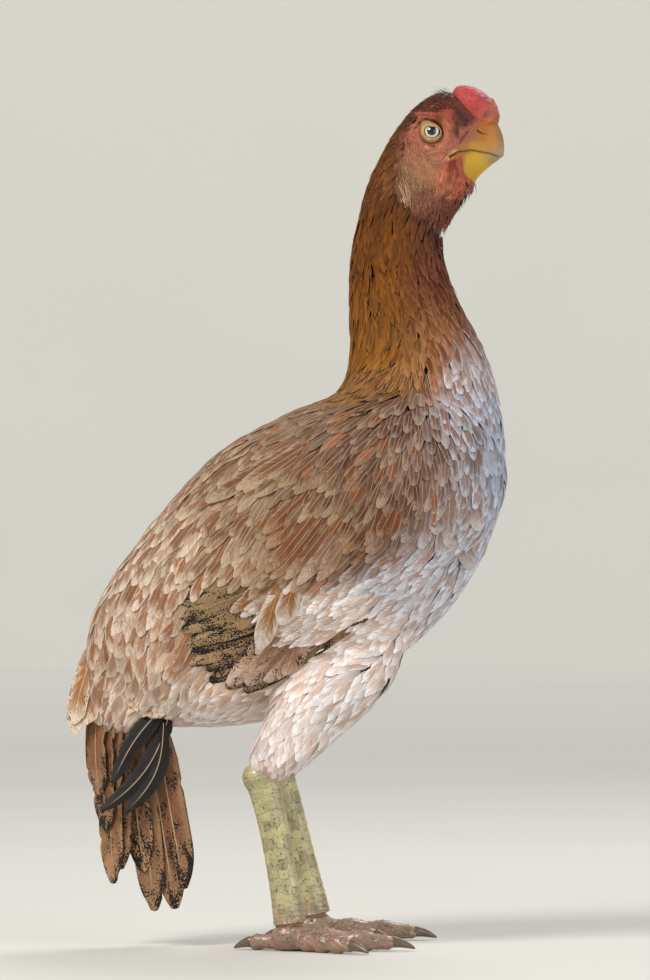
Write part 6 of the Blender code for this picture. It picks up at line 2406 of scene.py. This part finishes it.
            combine(bill, "UNION", flaps)
        bill.data.shade_smooth()
        bill.data.set_sharp_from_angle(angle=math.radians(40))
        own = vertices(bill.data) / MM
        edge = near_line(own[:, [0, 2]], MOUTH_LINE)[0]
        # Painted shade: the horn darkens towards the mouth line, where the two halves meet.
        shade = (0.45 + 0.42 * step(0.2, 1.1, edge))[:, None]
        put(bill.data, "tint", "FLOAT_COLOR", blended(own, BILL_TONES) * shade)
        return settle(bill)


@dataclass(frozen=True)
class Tuft:
    """A patch of hair-like feathers on the head, seen from the side."""

    at: Pair
    reach: Pair
    count: int
    length: Pair
    half: float
    way: float  # degrees up from level, towards the bill
    lean: float  # how far they stand off the skin, as a share
    root: str
    tip: str


TUFTS = (
    Tuft((88, 489), (13, 5.5), 900, (2.4, 4.4), 0.34, 172, 0.20, "#3A1A0E", "#7A3E22"),
    Tuft((94, 494), (4.5, 2.5), 70, (3.5, 6.0), 0.20, 130, 0.7, "#2E1A10", "#4E3020"),
    Tuft((73, 482), (9, 8), 620, (3.2, 5.6), 0.5, 196, 0.16, "#46200F", "#763E1E"),
    Tuft((62, 468), (9, 11), 700, (4.5, 7.5), 0.7, 220, 0.14, "#542A0C", "#824A1A"),
    Tuft((103, 481), (3.8, 5.0), 200, (1.8, 3.2), 0.22, -50, 0.30, "#1E110C", "#42241A"),
    Tuft((104, 473), (3.0, 5.0), 90, (2.0, 3.6), 0.16, -20, 0.22, "#3A1E14", "#74442E"),
    Tuft((68, 461), (3.4, 5.0), 160, (2.8, 5.0), 0.34, 225, 0.28, "#4A260E", "#8A5426"),
    Tuft((78, 446), (10, 9), 620, (2.0, 3.8), 0.18, 262, 0.18, "#9A6A46", "#CCA482"),
    Tuft((69.5, 440), (2.6, 9), 460, (5.0, 8.5), 0.24, 287, 0.12, "#A67E5C", "#D6B694"),
    Tuft((84, 434), (8, 7), 420, (2.4, 4.4), 0.24, 262, 0.24, "#7E4A32", "#B4846A"),
    Tuft((106, 434), (6, 9), 150, (2.4, 4.6), 0.18, 262, 0.55, "#20120C", "#3E241A"),
    Tuft((98, 424), (13, 8), 420, (3.0, 6.0), 0.34, 256, 0.24, "#6E3626", "#A4644A"),
    Tuft((58, 447), (7, 14), 480, (6.0, 10.0), 1.0, 240, 0.12, "#623408", "#8C5616"),
)


@dataclass
class HeadHairs:
    """Bristles, hair feathers and small nape feathers of the head."""

    bake: Unwrap
    rows: int = 5
    # Heights, and how far ahead a hair may stand at each.
    bill_line: tuple[tuple[float, ...], tuple[float, ...]] = (
        (440, 448, 454.5, 460.2, 475, 490), (114, 104, 103, 100.5, 110, 120)
    )

    def make(self, finish: bpy.types.Material) -> bpy.types.Object:
        """Builds all the tufts as one piece."""
        draw = np.random.default_rng(Noise.HAIR.value)
        sheets = Sheets("head_bristles")
        for tuft in TUFTS:
            self.lay(sheets, tuft, draw)
        return fit(sheets.build(bake=self.bake), finish, "hackle_gold")

    def lay(self, sheets: Sheets, tuft: Tuft, draw: np.random.Generator) -> None:
        """Adds one tuft, on both sides of the head.

        Args:
            sheets: where it goes.
            tuft: its place, size and colours.
            draw: the random numbers.
        """
        tries = tuft.count * 30
        t = draw.uniform(NECK_FROM + 3, 17.6, tries)
        angle = draw.uniform(-math.pi, math.pi, tries)
        spot = FORM.point(t, angle)
        off = (((spot[:, [0, 2]] - np.array(tuft.at)) / np.array(tuft.reach)) ** 2).sum(-1)
        kept = np.flatnonzero(draw.random(tries) < np.exp(-(off**2)))[: tuft.count]
        t, angle, spot = t[kept], angle[kept], spot[kept]
        normal = FORM.normal(t, angle)
        raised = relief(spot[:, 0], spot[:, 2]) * np.abs(np.sin(angle)) ** 0.8 * step(427, 437, spot[:, 2])
        spot = spot + normal * (raised - 0.25)[:, None]
        eye = np.linalg.norm(spot[:, [0, 2]] - np.array(EYE_AT), axis=1) > 7.4
        comb = np.hypot(spot[:, 0] - COMB_AT[0], spot[:, 2] - COMB_AT[1]) > 8.0
        bill_line = np.interp(spot[:, 2], *self.bill_line)
        keep = eye & comb & (spot[:, 0] < bill_line)
        spot, normal = spot[keep], normal[keep]
        count = len(spot)
        turn = np.radians(tuft.way + draw.normal(0, 9, count))
        way = np.stack((np.cos(turn), draw.normal(0, 0.12, count), np.sin(turn)), -1)
        way = unit(way - normal * (way * normal).sum(-1, keepdims=True))
        length = draw.uniform(*tuft.length, count)[:, None]
        along = np.linspace(0, 1, self.rows)[None]
        rise = tuft.lean * draw.uniform(0.6, 1.5, (count, 1)) * length * along * (1.25 - 0.45 * along)
        spine = spot[:, None] + way[:, None] * (along * length)[..., None] + normal[:, None] * rise[..., None]
        half = tuft.half * draw.uniform(0.8, 1.2, (count, 1)) * np.clip(1.02 - along**1.8, 0.08, 1)
        root = np.repeat(np.array([linear(tuft.root)]), count, axis=0)
        tip = np.repeat(np.array([linear(tuft.tip)]), count, axis=0)
        tone = 1 + draw.normal(0, 0.12, (count, 1))
        root[:, :3] *= tone
        tip[:, :3] *= tone
        marks = np.repeat(np.array([(0.0, 0.0, 0.45)]), count, axis=0)
        facts = {"seed": draw.random(count), "centre": root, "rim": tip, "marks": marks}
        lifted = np.repeat(normal[:, None], self.rows, axis=1)
        thick = np.linspace(0.22, 0.1, self.rows)
        sheets.lay(spine, lifted, half, np.array((-1.0, 0.0, 1.0)), thick, 0.2, 0.04, None, **facts)


@dataclass
class Legs:
    """Horny plates down the shanks and over the toes, and the claws."""

    bake: Unwrap
    plate: Horn = Horn(
        "leg_plate_horn", "#C2A45C", "#6E685C", "#DCD0A0",
        grain=0.8, stretch=(1, 1, 0.35), coat=0.3, tinted=True, specks=0.75, stain=0.3, veins=0.4,
    )
    claw_horn: Horn = Horn(
        "claw_horn_worn", "#60503E", "#302822", "#A08C70", grain=0.9, stretch=(0.3, 1, 1), coat=0.3
    )
    # Columns of plates: degrees from the front, half their width, plates, and how far they stand out.
    shank_columns: tuple[tuple[int, int, int, float], ...] = (
        (32, 31, 19, 0.9), (-32, 31, 19, 0.9), (80, 19, 25, 0.55), (-80, 19, 25, 0.55),
        (116, 19, 27, 0.5), (-116, 19, 27, 0.5), (156, 24, 19, 0.7), (-156, 24, 19, 0.7),
    )
    columns: tuple[float, ...] = (-1.0, -0.8, -0.4, 0.0, 0.4, 0.8, 1.0)
    toe_plates: tuple[tuple[str, int], ...] = (("middle", 16), ("inner", 11), ("outer", 13), ("hind", 6))

    def make(self) -> list[bpy.types.Object]:
        """Builds plates and claws of both legs.

        Returns:
            One piece of plates a leg, and the eight claws.
        """
        draw = np.random.default_rng(Noise.SCALES.value)
        made = []
        horn, nail = self.plate.make(), self.claw_horn.make()
        for word in SIDES:
            sheets = Sheets(f"leg_plates_{word}")
            for middle, span, rows, size in self.shank_columns:
                self.shank_plates(sheets, word, math.radians(middle), math.radians(span), rows, size, draw)
            for toe, count in self.toe_plates:
                self.toe_row(sheets, word, toe, count, draw)
            plates = sheets.build(bake=self.bake)
            corners = [t.shape[1] * (t.shape[2] + u.shape[2]) for t, u in zip(sheets.tops, sheets.unders)]
            tints = [np.repeat(f["centre"], n, axis=0) for f, n in zip(sheets.facts, corners)]
            put(plates.data, "tint", "FLOAT_COLOR", np.concatenate(tints))
            made.append(fit(plates, horn, "leg_yellow"))
            for toe in TOES:
                made.append(fit(self.claw(word, toe), nail, "claw_horn", f"claw_{word}_{toe}"))
        return made

    def tone(self, points: Array, draw: np.random.Generator) -> Array:
        """The plates' tint by height: yellow and dusky on the shank, browner on the toes."""
        yellow, brown, dusk = (np.array(linear(code)) for code in ("#B8AE7C", "#A27C6A", "#524C42"))
        up = step(8, 34, points[:, 2])[:, None]
        colour = brown * (1 - up) + yellow * up
        share = 0.20 + 0.40 * wobble(points, 6.0, 2.0) + draw.normal(0, 0.05, len(points))
        share = np.clip(share, 0, 0.6)[:, None]
        colour = colour * (1 - share) + dusk * share
        colour[:, 3] = 1
        return colour

    def facts(self, points: Array, draw: np.random.Generator) -> dict[str, Array]:
        """Tints and seeds of some plates."""
        colour = self.tone(points, draw)
        marks = np.zeros((len(points), 3))
        return {"seed": draw.random(len(points)), "centre": colour, "rim": colour, "marks": marks}

    def shank_plates(
        self,
        sheets: Sheets,
        word: str,
        middle: float,
        span: float,
        rows: int,
        size: float,
        draw: np.random.Generator,
    ) -> None:
        """Adds one column of plates down a shank.

        Args:
            sheets: where they go.
            word: which leg.
            middle: the column's angle from the front.
            span: half its width as an angle.
            rows: how many plates.
            size: how far they stand out, as a share.
            draw: the random numbers.
        """
        edges = np.linspace(0.10, 0.985, rows + 1)
        v = np.linspace(0, 1, 7)
        share = edges[:-1, None] + (np.diff(edges)[:, None] * 1.12) * v
        columns = np.array(self.columns)
        # Corners are rounded: the first and last rows are narrower.
        narrow = np.interp(v, (0, 0.15, 0.8, 1), (0.78, 1.0, 1.0, 0.80))
        angle = middle + span * columns * narrow[None, :, None] + draw.normal(0, 0.03, (rows, 1, 1))
        bend = 0.05 * (1 - columns**2) * (edges[1] - edges[0]) / 0.05
        share = share[..., None] + bend * 0.012
        share, angle = np.broadcast_arrays(share, angle)
        centre, front, values = leg_frame(leg_way(SHANK, word), share)
        rise = size * (0.10 + 0.75 * v**0.9)[None, :, None] * (1 - 0.75 * np.abs(columns) ** 3)

        def place(out: Array) -> Array:
            """Places round the shank, so far off its surface."""
            fore = (values[..., 3] + out) * np.cos(angle)
            wide = (values[..., 4] + out) * np.sin(angle)
            return centre + front * fore[..., None] + LEFT * wide[..., None]

        top, under = place(rise), place(np.full(rise.shape, -0.7))[:, :, [1, 3, 5]]
        self.keep(sheets, top, under, draw)

    def keep(self, sheets: Sheets, top: Array, under: Array, draw: np.random.Generator) -> None:
        """Adds plates with their columns in the order that turns their faces outwards.

        Args:
            sheets: where they go.
            top: their outer places.
            under: their hidden places.
            draw: the random numbers.
        """
        way = np.cross(top[:, 3, 1] - top[:, 3, 0], top[:, 4, 3] - top[:, 3, 3])
        outward = top[:, 3, 3] - under[:, 3, 1]
        if ((way * outward).sum(-1) < 0).mean() > 0.5:
            top, under = top[:, :, ::-1], under[:, :, ::-1]
        columns = np.array(self.columns)
        width = np.broadcast_to(columns * 4.0, top.shape[:3])
        sheets.tops.append(top)
        sheets.unders.append(under)
        sheets.note(top, columns, width, **self.facts(top[:, 3, 3], draw))

    def toe_row(self, sheets: Sheets, word: str, toe: str, count: int, draw: np.random.Generator) -> None:
        """Adds the plates over one toe.

        Args:
            sheets: where they go.
            word: which leg.
            toe: which toe.
            count: how many plates.
            draw: the random numbers.
        """
        origin, ahead, across, (length, root_r, end_r) = toe_way(toe, word)
        edges = np.linspace(-0.06, 0.985, count + 1)
        v = np.linspace(0, 1, 7)
        share = edges[:-1, None] + np.diff(edges)[:, None] * 1.14 * v
        columns = np.array(self.columns)
        narrow = np.interp(v, (0, 0.15, 0.8, 1), (0.85, 1.0, 1.0, 0.86))
        angle = math.radians(66) * columns * narrow[None, :, None]
        share, angle = np.broadcast_arrays(share[..., None], angle)
        radius, height, _ = toe_shape(np.clip(share, 0, 1), root_r, end_r, TOE_JOINTS[toe])
        rise = (0.05 + 0.62 * v**0.9)[None, :, None] * (1 - 0.7 * np.abs(columns) ** 3)
        middle = origin + ahead * (TOE_START + length * share)[..., None] + UP * height[..., None]

        def place(out: Array) -> Array:
            """Places round the toe, so far off its surface."""
            aside, above = (radius + out) * np.sin(angle) * 0.94, (radius + out) * np.cos(angle)
            return middle + across * aside[..., None] + UP * above[..., None]

        self.keep(sheets, place(rise), place(np.full(rise.shape, -0.7))[:, :, [1, 3, 5]], draw)

    def claw(self, word: str, toe: str) -> bpy.types.Object:
        """One blunt claw, curved down from the end of its toe, with a ridge over it.

        Args:
            word: which leg.
            toe: which toe.

        Returns:
            The object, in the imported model's frame.
        """
        origin, ahead, across, (length, _, end_r) = toe_way(toe, word)
        high = end_r + 0.25
        reach = CLAW_LENGTH * (HIND_CLAW if toe == "hind" else 1.0)
        share = np.linspace(-0.16, 1, 34)[:, None]
        angle = np.arange(32)[None] * 2 * math.pi / 32
        ahead_by = TOE_START + length + 0.3 + reach * share
        drop = CLAW_DROP * np.clip(share, 0, 1) ** 1.6
        radius = CLAW_R * (1 - np.clip(share, 0, 0.995)) ** 0.6 + 0.22
        ridge = 1 + 0.08 * np.exp(-((np.minimum(angle, 2 * math.pi - angle) / 0.5) ** 2))
        centre = origin + ahead * ahead_by[..., None] + UP * (high - drop)[..., None]
        rings = centre + across * (np.sin(angle) * radius * 0.8)[..., None]
        rings = rings + UP * (np.cos(angle) * radius * ridge)[..., None]
        return settle(loft(f"claw_horn_{word}_{toe}", rings, np.concatenate((centre[0], centre[-1]))))


@dataclass
class Studio:
    """Camera, floor, backdrop and lights."""

    aim: Pair = (25.0, 264.4)  # middle of the picture, mm along and up
    tall: float = 568.4  # height of the picture at the hen's middle plane in mm
    distance: float = 4.0
    floor: StudioGround = StudioGround("pale_floor_paper", "#DEDCD6", "#D3D0C8")
    # Metres from the hen, and how brightly the floor's painted glow shines there.
    glow: tuple[Pair, ...] = ((0.5, 0.0), (1.2, 0.06), (2.2, 0.22), (3.5, 0.35), (8.0, 0.40))

    def make(self) -> None:
        """Builds the stage and sets the camera."""
        self.camera()
        sweep = self.sweep()
        sweep.data.materials.append(self.floor.make())
        bpy.context.scene.view_settings.view_transform = "Standard"
        self.light("key_softbox", (-1.2, -1.5, 1.9), 1.0, 46.0, (1.0, 0.98, 0.95))
        self.light("fill_softbox", (1.5, -1.4, 0.9), 1.4, 12.0, (0.95, 0.98, 1.0))
        self.light("back_softbox", (0.5, 1.1, 1.7), 1.0, 15.0, (1.0, 0.99, 0.98))
        world = bpy.data.worlds.new("studio_air")
        world.use_nodes = True
        world.node_tree.nodes["Background"].inputs["Color"].default_value = linear("#E8EAEE")
        world.node_tree.nodes["Background"].inputs["Strength"].default_value = 0.46
        bpy.context.scene.world = world

    def camera(self) -> None:
        """A level camera at the photograph's angle and framing."""
        data = bpy.data.cameras.new("photo_camera")
        data.lens = data.sensor_width / 2 / (self.tall * MM / 2 / self.distance)
        data.clip_start, data.clip_end = 0.05, 60
        obj = bpy.data.objects.new("photo_camera", data)
        obj.location = (self.aim[0] * MM, -self.distance, self.aim[1] * MM)
        obj.rotation_euler = (math.radians(90), 0, 0)
        bpy.context.scene.collection.objects.link(obj)
        bpy.context.scene.camera = obj

    def sweep(self) -> bpy.types.Object:
        """A round floor that curves up into a wall all round, with a painted glow that grows away from the
        hen's lamps.
        """
        turn = np.linspace(0, math.pi / 2, 9)[1:]
        radii = (*np.linspace(0.25, 1.5, 6), 2.0, 2.8, 3.8, 5.2, 6.8)
        line = [(r, 0.0) for r in radii] + [(6.8 + math.sin(a), 1 - math.cos(a)) for a in turn] + [(7.8, 3.4)]
        around = np.arange(96) * 2 * math.pi / 96
        rings = np.array([[(r * math.cos(a), r * math.sin(a), z) for a in around] for r, z in line]) / MM
        count, sides = len(line), len(around)
        grid = 1 + np.arange(count * sides).reshape(count, sides)
        fan = np.stack((np.zeros(sides, int), np.roll(grid[0], -1), grid[0]), -1)
        points = np.concatenate(([[0.0, 0, 0]], rings.reshape(-1, 3)))
        cove = make_object("floor_cove", points, [strips(grid)[:, ::-1], fan[:, ::-1]], placed=False)
        glow = np.interp(np.repeat([r for r, _ in line], sides), *np.array(self.glow).T)
        put(cove.data, "glow", "FLOAT", np.concatenate(([self.glow[0][1]], glow)))
        cove.data.shade_smooth()
        return cove

    def light(self, name: str, at: Triple, size: float, power: float, colour: Triple) -> None:
        """An area light that faces the hen."""
        data = bpy.data.lights.new(name, "AREA")
        data.shape, data.size, data.energy, data.color = "DISK", size, power, colour
        obj = bpy.data.objects.new(name, data)
        obj.location = at
        obj.rotation_euler = (Vector((0, 0, 0.25)) - Vector(at)).to_track_quat("-Z", "Y").to_euler()
        bpy.context.scene.collection.objects.link(obj)


def report(pieces: Sequence[bpy.types.Object]) -> None:
    """Writes each piece's name and number of triangles to the log."""
    for piece in pieces:
        LOG.info("%s: %d triangles", piece.name, sum(len(p.vertices) - 2 for p in piece.data.polygons))


def main() -> None:
    """Builds the hen and her stage."""
    logging.basicConfig(level=logging.INFO, format="%(name)s %(relativeCreated)d %(message)s")
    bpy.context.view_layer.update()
    Studio().make()
    skin, bake = Hide().make()
    report([skin])
    lie = Lie()
    LOG.info("coat base ready")
    kinds = {
        "plumage_buff": FeatherKeratin("contour_feather"),
        "hackle_gold": FeatherKeratin(
            "hackle_feather", 0.5, 0.0, barb=0.36, lean=14, shaft=0.0, specular=0.1
        ),
        "plumage_fluff": FeatherKeratin("fluff_feather", 0.75, 0.1, barb=0.55, lean=20, quill=0.1),
        "tail_buff": FeatherKeratin(
            "tail_feather", 0.55, 0.0, barb=0.5, shaft=0.4, quill=0.5, mottle_from=0.5
        ),
    }
    finishes = {slot: kind.make() for slot, kind in kinds.items()}
    report(BodyPlumage(lie, bake).make(finishes))
    for word in SIDES:
        report(Wing(word, bake).make(finishes["plumage_buff"]))
    report(Tail(bake).make(finishes["tail_buff"]))
    report(Face().make())
    bristle = FeatherKeratin("head_bristle", 0.6, 0.0, barb=0.3, lean=5, shaft=0.0)
    report([HeadHairs(bake).make(bristle.make())])
    report(Legs(bake).make())


if __name__ == "__main__":
    main()
